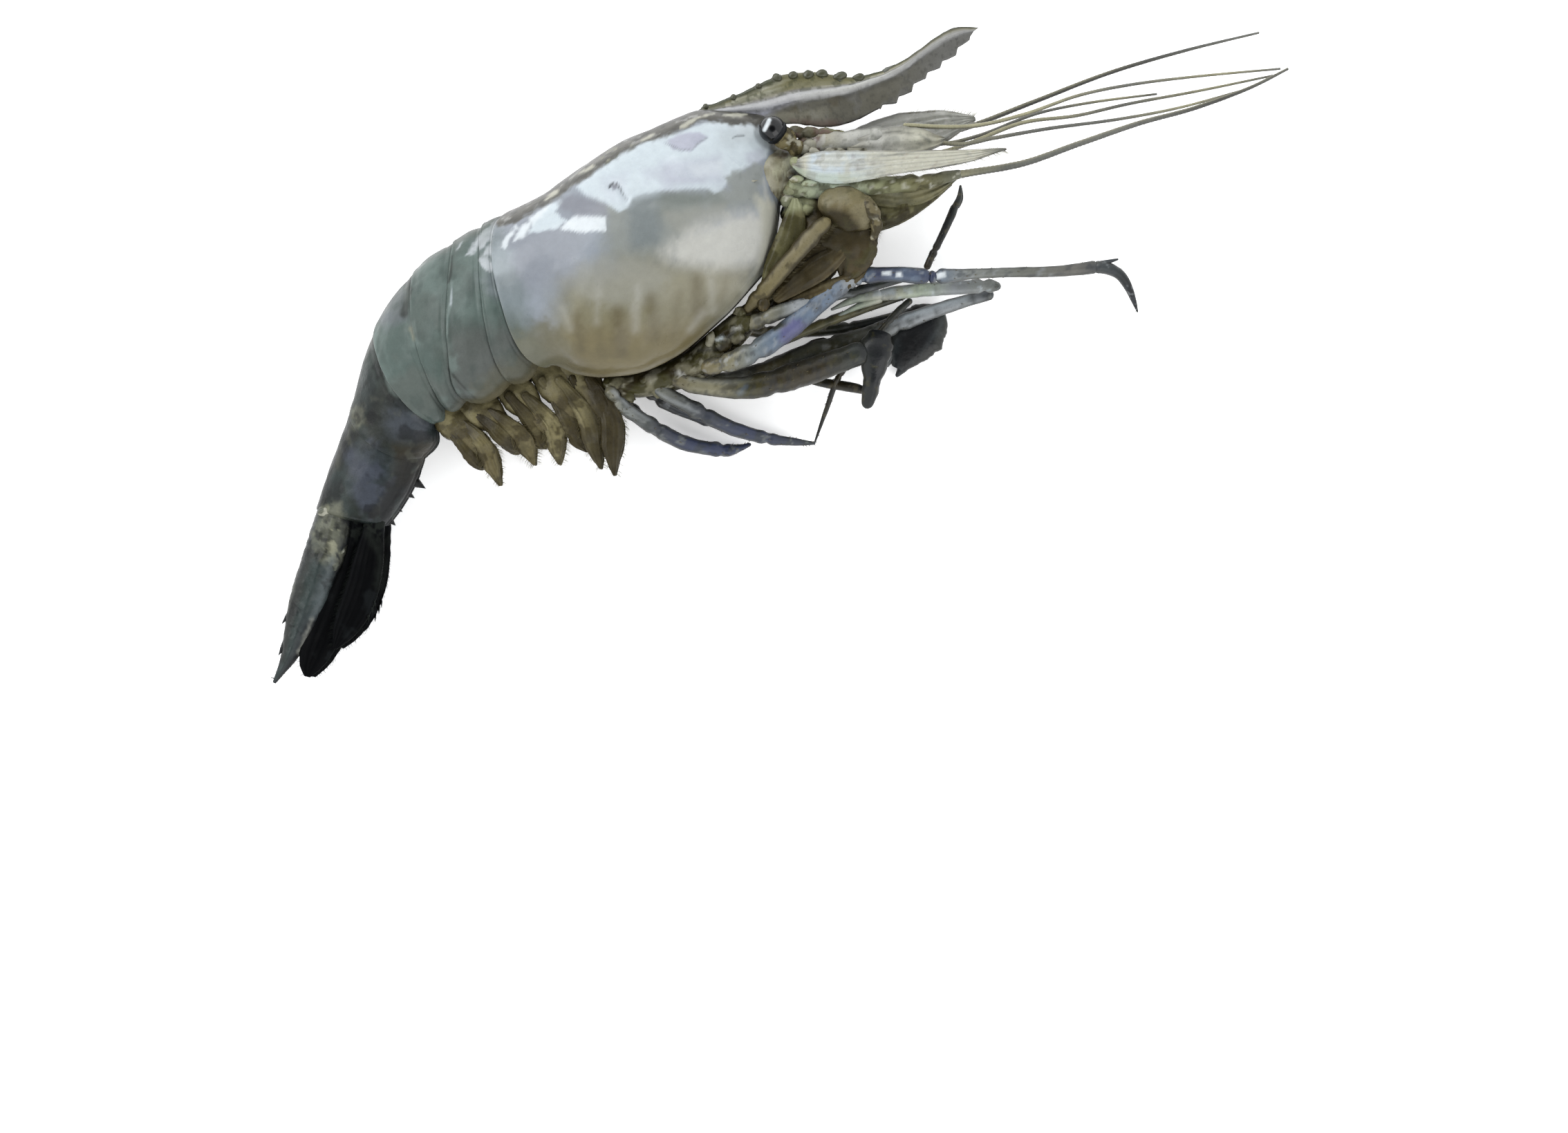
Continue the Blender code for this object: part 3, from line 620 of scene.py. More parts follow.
# ------------------------------------------------------------ body shell form
def skin(u, angle, out=1.0):
    u, angle, out = np.broadcast_arrays(np.asarray(u, float), np.asarray(angle, float), np.asarray(out, float))
    dx, dy, vx, vy, w, zc = np.moveaxis(through(STATIONS, u), -1, 0)
    mx, my = dx + 0.54 * (vx - dx), dy + 0.54 * (vy - dy)
    c, s = np.cos(angle), np.sin(angle)
    power = np.where(c >= 0, 1.0, 2 / 2.7)
    reach = np.abs(c) ** power * out
    ex, ey = np.where(c >= 0, dx, vx), np.where(c >= 0, dy, vy)
    z = zc + w * np.sign(s) * np.abs(s) ** power * out
    return place(mx + (ex - mx) * reach, my + (ey - my) * reach, z)


def edge(k, angle, out=1.0):
    base, bow, peak = EDGES[k]
    side = np.abs(((angle + math.pi) % (2 * math.pi)) - math.pi) / math.pi
    power = math.log(0.5) / math.log(peak)
    return base + bow * (0.5 + (np.sin(math.pi * side ** power) - 0.5) * out)


def inset(u, angle, scale, rise):
    c = np.cos(angle)
    dx, dy, vx, vy, w, zc = np.moveaxis(through(STATIONS, u), -1, 0)
    depth = 0.46 * np.hypot(vx - dx, vy - dy) * GRID / MM
    return np.where(c >= 0, scale, scale * (1 - rise / depth * np.minimum(1.0, -c * 1.6)))


def step_length(u):
    a, b = through(STATIONS, np.array([max(u - 0.25, 0), min(u + 0.25, 15)]))
    mid = [(0.5 * (p[0] + p[2]), 0.5 * (p[1] + p[3])) for p in (a, b)]
    span = math.hypot(mid[1][0] - mid[0][0], mid[1][1] - mid[0][1]) * GRID / MM
    return span / (min(u + 0.25, 15.0) - max(u - 0.25, 0.0))


def columns(upper, lower, margin):
    """Angles round the body, upper and lower flank: even over each flank, close
    together where the shell's lower margin turns under, at margin degrees from
    the back."""
    m = math.radians(margin)

    def flank(n):
        return np.interp(np.linspace(0, 1, n + 1), [0, 0.84, 0.93, 1.0], [0, m - 0.05, m + 0.05, math.pi])
    return np.concatenate([flank(upper), (2 * math.pi - flank(lower)[1:-1])[::-1]])


def flank_side(angle):
    return np.abs(((angle + math.pi) % (2 * math.pi)) - math.pi)


def lift(p, height):
    n = grid_normals(p)
    q = p + n * (height * MM)[..., None]
    q[..., 2] = np.maximum(q[..., 2], 0.0)
    return q


CARAPACE_MARGIN = 166.0


def build_carapace():
    ang = columns(150, 92, CARAPACE_MARGIN)
    u = np.concatenate([np.linspace(0, 1.2, 30)[:-1], np.linspace(1.2, 7.2, 128)[:-1], np.linspace(7.2, 9.0, 52)])
    lip_u = np.array([9.0, 8.99, 8.96, 8.88, 8.70])
    lip_out = np.array([0.992, 0.978, 0.966, 0.958, 0.955])
    uu = np.concatenate([u, lip_u])[:, None]
    out = np.concatenate([np.ones(len(u)), lip_out])[:, None]
    k = smooth((uu - 6.5) / 2.5)
    U = uu + (edge(9, ang)[None, :] - 9.0) * k
    p = skin(U, ang[None, :], out)
    side = flank_side(ang)[None, :]
    m = math.radians(CARAPACE_MARGIN)
    deg = np.degrees(side)
    h = np.zeros(p.shape[:2])
    shell = (np.arange(len(uu)) < len(u))[:, None]
    h += shell * 0.05 * bump(uu, 8.93, 0.07) - shell * 0.04 * bump(uu, 8.72, 0.10)
    rim_on = smooth((uu - 0.3) / 0.6) * smooth((8.8 - uu) / 0.5)
    h += rim_on * 0.18 * bump(deg, CARAPACE_MARGIN - 3.0, 2.6)
    h -= rim_on * 0.10 * bump(deg, CARAPACE_MARGIN - 10.0, 3.5)
    under = smooth((side - m + 0.02) / 0.06)
    h -= under * (1.5 * smooth(uu / 1.5)) * shell
    x = p[..., 0] / GRID + ORIGIN_X
    y = ORIGIN_Y - p[..., 1] / GRID
    # undulation, gill-chamber ripples, groove behind the brow, scar and dents
    flat = p.reshape(-1, 3)
    h += shell * 0.16 * noise(flat, 9.0, 2, 4).reshape(h.shape)
    h += shell * 0.035 * noise(flat, 2.2, 3, 8).reshape(h.shape)
    lower = smooth((y - 395) / 60) * smooth((1090 - x) / 60) * smooth((x - 800) / 50)
    ripple = np.sin((x + 0.25 * (y - 460)) / 52 * 2 * math.pi + 0.8 * noise(flat, 8, 2, 3).reshape(h.shape))
    h += shell * lower * 0.14 * ripple * smooth((m - side) / 0.1)
    d, _ = line_distance(x, y, [(1098, 262), (1062, 262), (1035, 288), (1000, 300), (960, 296), (925, 300)])
    h -= shell * 0.20 * np.exp(-(d / 7) ** 2)
    d, _ = line_distance(x, y, [(885, 288), (905, 340), (900, 395), (870, 430)])
    h -= shell * 0.14 * np.exp(-(d / 16) ** 2)
    d, _ = line_distance(x, y, [(885, 273), (894, 272), (902, 282), (908, 293)])
    h -= shell * 0.35 * np.exp(-(d / 4) ** 2)
    d, _ = line_distance(x, y, [(965, 212), (990, 220), (1008, 214), (1024, 203)])
    h -= shell * 0.16 * np.exp(-(d / 6) ** 2)
    for cx, cy, rad, depth in ((1075, 205, 9, 0.12), (850, 306, 26, 0.25), (800, 318, 18, -0.16), (1050, 350, 60, -0.25),
                               (745, 392, 40, -0.15), (1092, 246, 18, 0.25), (930, 330, 34, 0.18)):
        h -= shell * depth * np.exp(-((x - cx) ** 2 + (y - cy) ** 2) / rad ** 2)
    # socket behind the eye
    d = np.hypot(x - 1117, y - 192)
    upper = smooth((p[..., 2] / MM - 14) / 3) + smooth((13 - p[..., 2] / MM) / 3)
    h -= shell * upper * 0.7 * np.exp(-(d / 22) ** 2)
    h += shell * upper * 0.15 * np.exp(-((d - 27) / 4) ** 2)
    p = lift(p, h)
    along = np.broadcast_to(uu / 9.0, p.shape[:2])
    across = np.broadcast_to(np.cos(ang)[None, :], p.shape[:2])
    return closed_grid(p, along, across, 0)


TOP = [(1000, 166), (1012, 157), (1022, 151), (1036, 148), (1052, 141), (1068, 135), (1090, 125), (1112, 114),
       (1130, 108), (1148, 106), (1166, 104), (1184, 104), (1204, 107), (1226, 111), (1248, 109), (1270, 103),
       (1292, 94), (1310, 84), (1330, 70), (1352, 54), (1376, 40), (1396, 38), (1416, 39)]
RIDGE = [(1000, 172), (1014, 167), (1026, 163), (1038, 161), (1054, 159), (1070, 158), (1092, 156), (1114, 153),
         (1134, 147), (1152, 142), (1168, 138), (1186, 135), (1206, 131), (1228, 126), (1250, 119), (1270, 112),
         (1292, 103), (1310, 93), (1330, 79), (1350, 65), (1376, 51), (1394, 46), (1408, 43)]
LOWER = [(1004, 200), (1018, 200), (1030, 198), (1042, 196), (1056, 194), (1072, 191), (1096, 187), (1118, 182),
         (1138, 179), (1154, 179), (1170, 181), (1188, 184), (1210, 182), (1232, 176), (1254, 166), (1274, 156),
         (1294, 147), (1312, 134), (1332, 116), (1352, 100), (1376, 82), (1392, 66), (1404, 52)]


def build_blade():
    """Rostrum: a thin blade with a thickened ridge along each side."""
    n = len(TOP)
    t = np.linspace(0, n - 1, 320)
    top, ridge, low = (through(np.array(a, float), t) for a in (TOP, RIDGE, LOWER))
    # saw edge below: each tooth ends in a tip pointing forwards
    tips = np.array([1272, 1296, 1318, 1338, 1359, 1382, 1402], float)
    span = np.interp(low[:, 0], tips, np.arange(len(tips)))
    phase = span - np.floor(span)
    saw = np.where(phase < 0.25, 0.5 - phase / 0.25, -0.5 + (phase - 0.25) / 0.75)
    saw = saw * ((low[:, 0] > tips[0]) & (low[:, 0] < tips[-1]))
    low[:, 1] += 6.0 * saw
    low[:, 0] += 2.5 * saw
    s = t / t[-1]
    half = 1.55 + (0.50 - 1.55) * s
    # (share of the way from the top edge over the ridge to the lower edge, thickness)
    prof = np.array([(0.0, 0.10), (0.05, 0.26), (0.3, 0.36), (0.6, 0.40), (0.80, 0.62), (0.90, 0.92), (1.0, 1.0),
                     (1.08, 0.92), (1.18, 0.55), (1.35, 0.44), (1.6, 0.40), (1.85, 0.30), (1.95, 0.22), (2.0, 0.10)])
    v = np.linspace(0, 2, 28)
    thick = np.interp(v, prof[:, 0], prof[:, 1])
    pos = np.where(v[None, :, None] < 1, top[:, None, :] + (ridge - top)[:, None, :] * v[None, :, None],
                   ridge[:, None, :] + (low - ridge)[:, None, :] * (v[None, :, None] - 1))
    z = half[:, None] * thick[None, :]
    right = place(pos[..., 0], pos[..., 1], 13.7 + z)
    left = place(pos[..., 0], pos[..., 1], 13.7 - z)
    p = np.concatenate([right, left[:, ::-1]], 1)
    vv = np.concatenate([v, v[::-1]])
    wob = noise(p.reshape(-1, 3), 3.0, 3, 21).reshape(p.shape[:2])
    p[..., 2] += wob * 0.05 * MM * np.sign(p[..., 2] - 13.7 * MM)
    p[..., 1] += noise(p.reshape(-1, 3) * np.array([1, 1, 0]), 1.6, 3, 22).reshape(p.shape[:2]) * 0.10 * MM
    ch = closed_grid(p, np.broadcast_to(s[:, None], p.shape[:2]), np.broadcast_to(vv[None, :] - 1, p.shape[:2]), 2)
    return ch


def cusp(x, y, tx, ty, base_mm, thick_mm, z=13.7, kind=3):
    """Flattened tooth of the rostrum from its base centre to its tip."""
    a, b = place(x, y, z), place(tx, ty, z)
    d = b - a
    across = unit(np.cross(d, np.array([0, 0, 1.0])))
    rings = []
    levels = (-0.5, 0.0, 0.35, 0.65, 0.85, 0.97)
    for f in levels:
        w = base_mm * MM * (1 - max(f, 0)) ** 0.8
        curve = across * 0.10 * base_mm * MM * math.sin(math.pi * max(f, 0))
        ring = []
        for k in range(12):
            th = 2 * math.pi * k / 12
            ring.append(a + d * f + curve + across * w * math.cos(th)
                        + np.array([0, 0, 1.0]) * thick_mm * MM * (1 - max(f, 0)) ** 0.7 * math.sin(th))
        rings.append(ring)
    return closed_grid(np.array(rings), np.array(levels)[:, None], 0.0, kind)


def build_teeth():
    out = []
    for i, (x, y, dx, dy, w) in enumerate(((1020, 156, 6, -6, 0.7), (1060, 142, 8, -6, 0.7), (1096, 126, 9, -6, 0.7), (1122, 114, 8, -7, 0.8),
                                           (1146, 110, 8, -6, 0.8), (1168, 109, 8, -7, 0.9), (1189, 108, 5, -7, 1.0), (1214, 111, 6, -9, 1.2),
                                           (1241, 113, 8, -6, 1.0), (1284, 100, 11, -8, 0.6))):
        out.append(cusp(x, y, x + dx, y + dy, w, 0.40))
        if x < 1260:
            big = 1.35 if x > 1110 else 1.0
            out.append(lump(x + 1, y - 2, 13.9, w * 0.9 * big, 0.66 * big, 0.6, turn=8, seed=150 + i, rough=0.25, kind=3, rows=11, cols=14))
    return out


def paint_carapace(p):
    k = p.kind
    body = (k == 0) * 1.0
    L = lambda *a, **b: p.patch(*a, only=body, **b)
    S = lambda *a, **b: p.stroke(*a, only=body, **b)
    # broad zones of the flank
    L("steel", [(720, 300), (1130, 160), (1130, 420), (720, 420)], soft=30)
    L("slate_lilac", [(700, 340), (790, 300), (850, 330), (840, 400), (760, 430), (700, 420)], soft=24, strength=0.45)
    L("sage", [(870, 290), (1060, 276), (1100, 262), (1104, 300), (1010, 322), (985, 372), (930, 400), (880, 380)], soft=16)
    L("sage_dark", [(950, 284), (1040, 284), (1052, 298), (1000, 308), (955, 316)], soft=9, strength=0.55)
    L("smoke", [(960, 312), (1050, 300), (1060, 322), (980, 350)], soft=10, strength=0.6)
    L("steel_dark", [(905, 296), (950, 286), (960, 360), (915, 372)], soft=12, strength=0.6)
    L("taupe", [(820, 415), (905, 385), (1005, 378), (1100, 380), (1080, 440), (1030, 490), (950, 540), (850, 560), (790, 500)], soft=34)
    # the pale beige front of the flank is shell colour with a painted highlight in it
    L("beige", [(955, 368), (1000, 340), (1050, 322), (1112, 308), (1122, 345), (1106, 386), (1050, 396), (985, 388)], soft=18, wobble=7)
    L("beige_warm", [(900, 400), (960, 390), (1080, 388), (1050, 430), (930, 440)], soft=18, strength=0.35)
    L("khaki", [(800, 480), (860, 470), (950, 478), (1000, 466), (1030, 468), (1040, 486), (985, 535), (930, 560), (850, 565)], soft=24, strength=0.95, wobble=7)
    L("beige_warm", [(1040, 410), (1090, 396), (1084, 430), (1050, 452)], soft=14, wobble=5, strength=0.5)
    L("grey_low", [(690, 462), (760, 462), (806, 480), (815, 520), (800, 560), (700, 590)], soft=26, strength=0.85, wobble=7)
    L("umber", [(790, 490), (845, 512), (880, 540), (860, 570), (780, 548)], soft=16, strength=0.55, wobble=7)
    p.mottle("umber", 4.0, 0.15, 0.35, seed=16, soft=0.5, only=body * smooth((p.y - 470) / 50) * smooth((p.x - 790) / 40))
    p.mottle("mud", 1.8, 0.30, 0.25, seed=17, soft=0.4, only=body * smooth((p.across + 0.92) / -0.04) * smooth((1010 - p.x) / 60))
    L("teal", [(690, 330), (728, 330), (744, 380), (768, 440), (800, 540), (740, 560), (690, 420)], soft=15, wobble=9, strength=0.45)
    L("smoke", [(836, 386), (920, 380), (972, 404), (950, 440), (880, 446), (840, 430)], soft=16, wobble=6, strength=0.6)
    L("ring_khaki", [(738, 490), (790, 466), (836, 500), (820, 565), (750, 565)], soft=16, wobble=7, strength=0.65)
    for line, w, st in (([(838, 462), (842, 504)], 15, 0.55), ([(896, 458), (900, 512)], 15, 0.60), ([(944, 436), (948, 490)], 17, 0.45),
                        ([(1008, 410), (1010, 452)], 20, 0.50), ([(870, 480), (872, 520)], 9, 0.35), ([(985, 430), (975, 490)], 10, 0.3),
                        ([(1052, 400), (1045, 440)], 9, 0.3)):
        S("umber", line, width=w, soft=10, wobble=4, strength=min(0.9, 1.3 * st))
    for line in ([(818, 450), (828, 480)], [(870, 415), (866, 470)], [(1030, 412), (1032, 452)], [(1018, 455), (1000, 480)], [(925, 420), (922, 480)]):
        S("beige", line, width=8, soft=9, wobble=3, strength=0.30)
    # large pale reflection of the back, with its ragged lower edge
    main = [(834, 274), (872, 246), (905, 220), (938, 203), (985, 196), (1021, 180), (1060, 174), (1094, 172), (1100, 200),
            (1114, 210), (1109, 230), (1081, 246), (1061, 259), (1045, 279), (1035, 284), (1025, 279), (958, 280), (932, 286),
            (917, 292), (910, 306), (900, 313), (879, 301), (852, 289)]
    L("ice", main, soft=2.8, wobble=1.6)
    L("ice_white", [(1060, 182), (1094, 178), (1098, 196), (1070, 204)], soft=8, strength=0.3)
    L("sage", [(1046, 192), (1082, 186), (1092, 206), (1060, 222), (1040, 212)], soft=12, wobble=4, strength=0.22)
    L("lavender", [(960, 240), (1040, 230), (1050, 270), (960, 276)], soft=12, strength=0.55)
    L("lavender", [(870, 262), (910, 250), (910, 300), (880, 296)], soft=10, strength=0.3)
    L("lavender", [(965, 208), (985, 198), (1012, 194), (1024, 202), (1008, 214), (1002, 224), (975, 220)], soft=2.5, wobble=2)
    S("slate_lilac", [(963, 210), (985, 222), (1003, 221), (1010, 212), (1024, 203)], width=1.5, soft=1.6, wobble=0.8, strength=0.8)
    S("lavender", [(958, 267), (990, 265), (1020, 267)], width=4, soft=3.5, wobble=0.5, strength=0.5)
    L("ice_white", [(1000, 244), (1044, 238), (1050, 256), (1006, 260)], soft=7, wobble=3, strength=0.4)
    L("lavender", [(930, 250), (968, 244), (974, 262), (936, 268)], soft=8, wobble=3, strength=0.4)
    L("lavender", [(1080, 226), (1106, 216), (1106, 236), (1085, 244)], soft=6, strength=0.5)
    # scar, dash
    S("scar", [(884, 276), (887, 270), (894, 271), (899, 278), (903, 286), (909, 293)], width=2.4, soft=1.5, wobble=0.8)
    L("slate_lilac", [(886, 273), (893, 270), (896, 276), (890, 281)], soft=2, wobble=0.5)
    S("scar", [(1060, 203), (1066, 200), (1076, 199)], width=1.8, soft=1.4, wobble=0.5, strength=0.8)
    # second row of pale patches behind it: painted reflections
    L("ice", [(768, 342), (774, 322), (790, 302), (812, 292), (818, 296), (806, 310), (822, 324), (806, 336), (788, 340)], soft=2.4, wobble=2.6)
    L("ice_white", [(820, 328), (836, 316), (880, 318), (880, 340), (840, 341), (815, 336)], soft=2.2, wobble=1.8)
    L("slate_lilac", [(808, 296), (830, 284), (880, 300), (884, 320), (845, 318), (812, 306)], soft=6, strength=0.9)
    L("ice_white", [(744, 356), (752, 336), (766, 320), (782, 306), (800, 298), (790, 312), (774, 328), (764, 346), (754, 352)], soft=2.6, wobble=3.0)
    L("ice_white", [(726, 362), (736, 344), (748, 330), (752, 334), (742, 348), (734, 364)], soft=2.6, wobble=2.4, strength=0.9)
    L("ice", [(700, 382), (724, 356), (742, 362), (752, 384), (738, 400), (712, 398)], soft=10, wobble=6, strength=0.30)
    L("ice", [(884, 292), (930, 262), (960, 268), (952, 288), (912, 300)], soft=10, wobble=5, strength=0.4)
    # back: a dark streaked rim down to the shell's rear
    back = through(STATIONS, np.linspace(1.5, 9.3, 60))
    dd = np.hypot(back[:, 2] - back[:, 0], back[:, 3] - back[:, 1])

    def inner(n):
        return [(r[0] + (r[2] - r[0]) * n / q, r[1] + (r[3] - r[1]) * n / q) for r, q in zip(back, dd)]
    S("rim_band", inner(7), width=27, soft=4, wobble=4)
    S("rim_grey", inner(9), width=3.0, soft=2.5, wobble=2.6, strength=0.8)
    S("rim_dark", inner(17), width=2.5, soft=2.5, wobble=2.4, strength=0.6)
    S("rim_dark", inner(1), width=5.0, soft=3.0, wobble=1.4, strength=0.95)
    band = body * smooth(1 - line_distance(p.x, p.y, inner(8))[0] / 16)
    p.mottle("rim_pale", 1.7, 0.25, 0.75, seed=13, soft=0.3, only=band * smooth((1060 - p.x) / 30))
    p.mottle("rim_dark", 1.5, 0.15, 0.8, seed=14, soft=0.35, only=band)
    for line in ([(986, 186), (1012, 172), (1034, 166)], [(930, 206), (946, 196)], [(838, 254), (858, 243)], [(790, 292), (806, 280)], [(1046, 168), (1080, 166)]):
        S("bone", line, width=3.0, soft=2.2, wobble=2.2, strength=0.75)
    p.mottle("cream", 1.2, 0.35, 0.6, only=body * smooth(1 - line_distance(p.x, p.y, [(878, 232), (908, 212)])[0] / 14))
    p.mottle("crest_dark", 1.0, 0.30, 0.8, seed=11, only=body * smooth(1 - line_distance(p.x, p.y, [(872, 240), (905, 216)])[0] / 13))
    # front margin: thin pale rim, green-grey behind the orbit
    L("sage", [(1050, 262), (1080, 248), (1106, 236), (1106, 262), (1090, 282), (1060, 284)], soft=5, wobble=5, strength=0.9)
    p.mottle("sage_dark", 0.9, 0.2, 0.5, only=body * smooth(1 - np.hypot(p.x - 1084, p.y - 258) / 26))
    S("beige", [(1105, 262), (1108, 286), (1120, 316), (1121, 350), (1110, 382), (1094, 404)], width=3, soft=3.5, wobble=1.2, strength=0.6)
    L("bone", [(1094, 288), (1122, 296), (1134, 330), (1128, 372), (1108, 410), (1080, 436), (1072, 420), (1096, 386), (1106, 345), (1098, 310)], soft=8, wobble=3, strength=0.8)
    S("rim_dark", [(1114, 240), (1114, 272), (1124, 300), (1132, 322), (1130, 352), (1118, 388)], width=2.0, soft=2, wobble=0.8, strength=0.5)
    S("olive", [(1118, 200), (1128, 226), (1122, 262)], width=12, soft=5, wobble=4, strength=0.8)
    # lower margin and belly between the legs
    m = math.cos(math.radians(CARAPACE_MARGIN))
    p.lay("khaki", body * smooth((m + 0.012 - p.across) / 0.02) * 0.7)
    p.mottle("mud", 1.6, 0.2, 0.5, only=body * (p.across < m - 0.002))
    p.lay("rim_pale", body * 0.18 * np.exp(-((p.across - (m + 0.022)) / 0.012) ** 2))
    # rostrum
    blade = ((k == 2) | (k == 3)) * 1.0
    w = p.across + 1                      # 0 top edge, 1 side ridge, 2 lower edge
    top = blade * (w < 1)
    p.ramp([(0.0, "crest_dark"), (0.20, "crest_dark"), (0.32, "olive"), (0.46, "crest"), (0.60, "beige_warm"), (0.72, "rim_grey"), (0.84, "carina"),
            (1.0, "carina"), (1.09, "carina"), (1.16, "rim_dark"), (1.24, "blade"), (1.6, "blade"), (1.95, "blade"), (2.0, "rim_dark")],
           w + 0.05 * p.broad, only=blade * (k == 2))
    p.stroke("bone", [(1060, 146), (1100, 130), (1142, 114)], width=3, soft=2.5, wobble=1.2, strength=0.7, only=top)
    p.stroke("crest_dark", [(1060, 152), (1100, 140), (1150, 124), (1180, 118)], width=3, soft=2.5, wobble=1.5, strength=0.8, only=top)
    p.ramp([(0.0, "lavender"), (0.30, "carina"), (0.62, "beige"), (0.85, "rim_pale"), (1, "blade_tip")], p.along, 0.8,
           only=blade * np.exp(-((w - 0.97) / 0.13) ** 2))
    root = smooth((1150 - p.x + 16 * p.broad - 26 * (w - 1)) / 44)
    p.lay("lavender", blade * smooth((w - 0.92) / 0.16) * root * 0.9)
    p.lay("carina", blade * smooth((w - 0.74) / 0.12) * smooth((1.3 - w) / 0.2) * 0.7 * root)
    p.lay("smoke_dark", blade * 0.12 * np.exp(-((w - 0.97) / 0.13) ** 2) * smooth((p.x - 1250) / 60))
    p.mottle("blade_tip", 2.2, 0.1, 0.45, seed=7, soft=0.4, only=blade * (w > 1.15))
    p.lay("beige_warm", 0.35 * blade * smooth((w - 1.3) / 0.3) * smooth((1215 - p.x) / 40))
    p.mottle("cocoa", 2.6, 0.2, 0.4, seed=8, soft=0.4, only=blade * (w > 1.15) * smooth((1270 - p.x) / 60))
    p.stroke("rose", [(1146, 174), (1180, 178), (1214, 180)], width=8, soft=5, wobble=3, strength=0.5, only=blade * (w > 1.2))
    p.lay("crest", 0.20 * top * (w < 0.75) * smooth((p.x - 1150) / 40) * smooth((1225 - p.x) / 30))
    p.lay("olive", 0.75 * top * (w < 0.66) * smooth((p.x - 1110) / 30) * smooth((1250 - p.x) / 30))
    p.lay("blade_tip", 0.75 * blade * smooth((p.x - 1280) / 90) * (w > 1.1))
    p.lay("rim_grey", 0.4 * top * smooth((p.x - 1290) / 40))
    p.lay("rim_pale", 0.6 * top * smooth((w - 0.35) / 0.4) * smooth((p.x - 1290) / 40))
    p.mottle("crest_dark", 1.1, 0.1, 0.55, seed=5, only=top * (p.x < 1260) * (w < 0.8))
    p.mottle("rim_dark", 0.7, 0.35, 0.35, seed=6, only=blade * (w > 1.1))
    p.stroke("rim_dark", [(1150, 166), (1185, 152), (1250, 132), (1300, 112)], width=3, soft=3, strength=0.4, only=blade)
    p.lay("crest_dark", (k == 3) * 0.92)
    p.lay("olive_dark", (k == 3) * 0.45)
    p.mottle("cream_dim", 0.8, 0.35, 0.3, only=(k == 3) * 1.0)
    p.lay("smoke_dark", (k == 3) * (p.x > 1275) * 0.8)
    # head under the brow
    head = (k == 4) * 1.0
    p.ramp([(1112, "beige_warm"), (1126, "taupe"), (1142, "smoke_dark"), (1185, "cream_dim"), (1215, "pea")], p.x, only=head)
    p.lay("umber", 0.5 * head * smooth((p.x - 1136) / 10) * smooth((236 - p.y) / 10))
    p.mottle("taupe", 1.6, 0.0, 0.7, seed=36, only=head * smooth((1150 - p.x) / 14))
    p.mottle("rose", 2.0, 0.0, 0.7, seed=31, only=head * smooth((236 - p.y) / 14))
    p.mottle("cocoa", 1.3, 0.25, 0.7, seed=32, only=head)
    p.mottle("cream", 1.0, 0.35, 0.7, seed=33, only=head)
    p.lay("beige_warm", (k == 5) * 0.9)
    base = (k == 6) * 1.0
    p.lay("olive_dark", base)
    p.mottle("mud", 3.0, -0.1, 0.9, seed=34, only=base)
    # lighter taupe and beige mottles on the leg bases, partly painted highlights
    p.mottle("taupe", 2.4, 0.15, 0.6, seed=35, only=base)
    p.mottle("beige_warm", 1.6, 0.40, 0.6, seed=36, only=base)
    # the small beige and ice specks are painted glints on the leg bases
    for tint, pts, w in (("beige", [(1060, 478), (1072, 474)], 4), ("ice", [(1036, 493), (1044, 490)], 4), ("beige_warm", [(1094, 462), (1120, 452)], 8),
                         ("rim_dark", [(1010, 508), (1040, 505), (1062, 480)], 5), ("taupe", [(1000, 540), (1044, 524)], 9), ("beige", [(982, 540), (990, 545)], 4)):
        p.stroke(tint, pts, width=w, soft=3, wobble=2, strength=0.8, only=base)


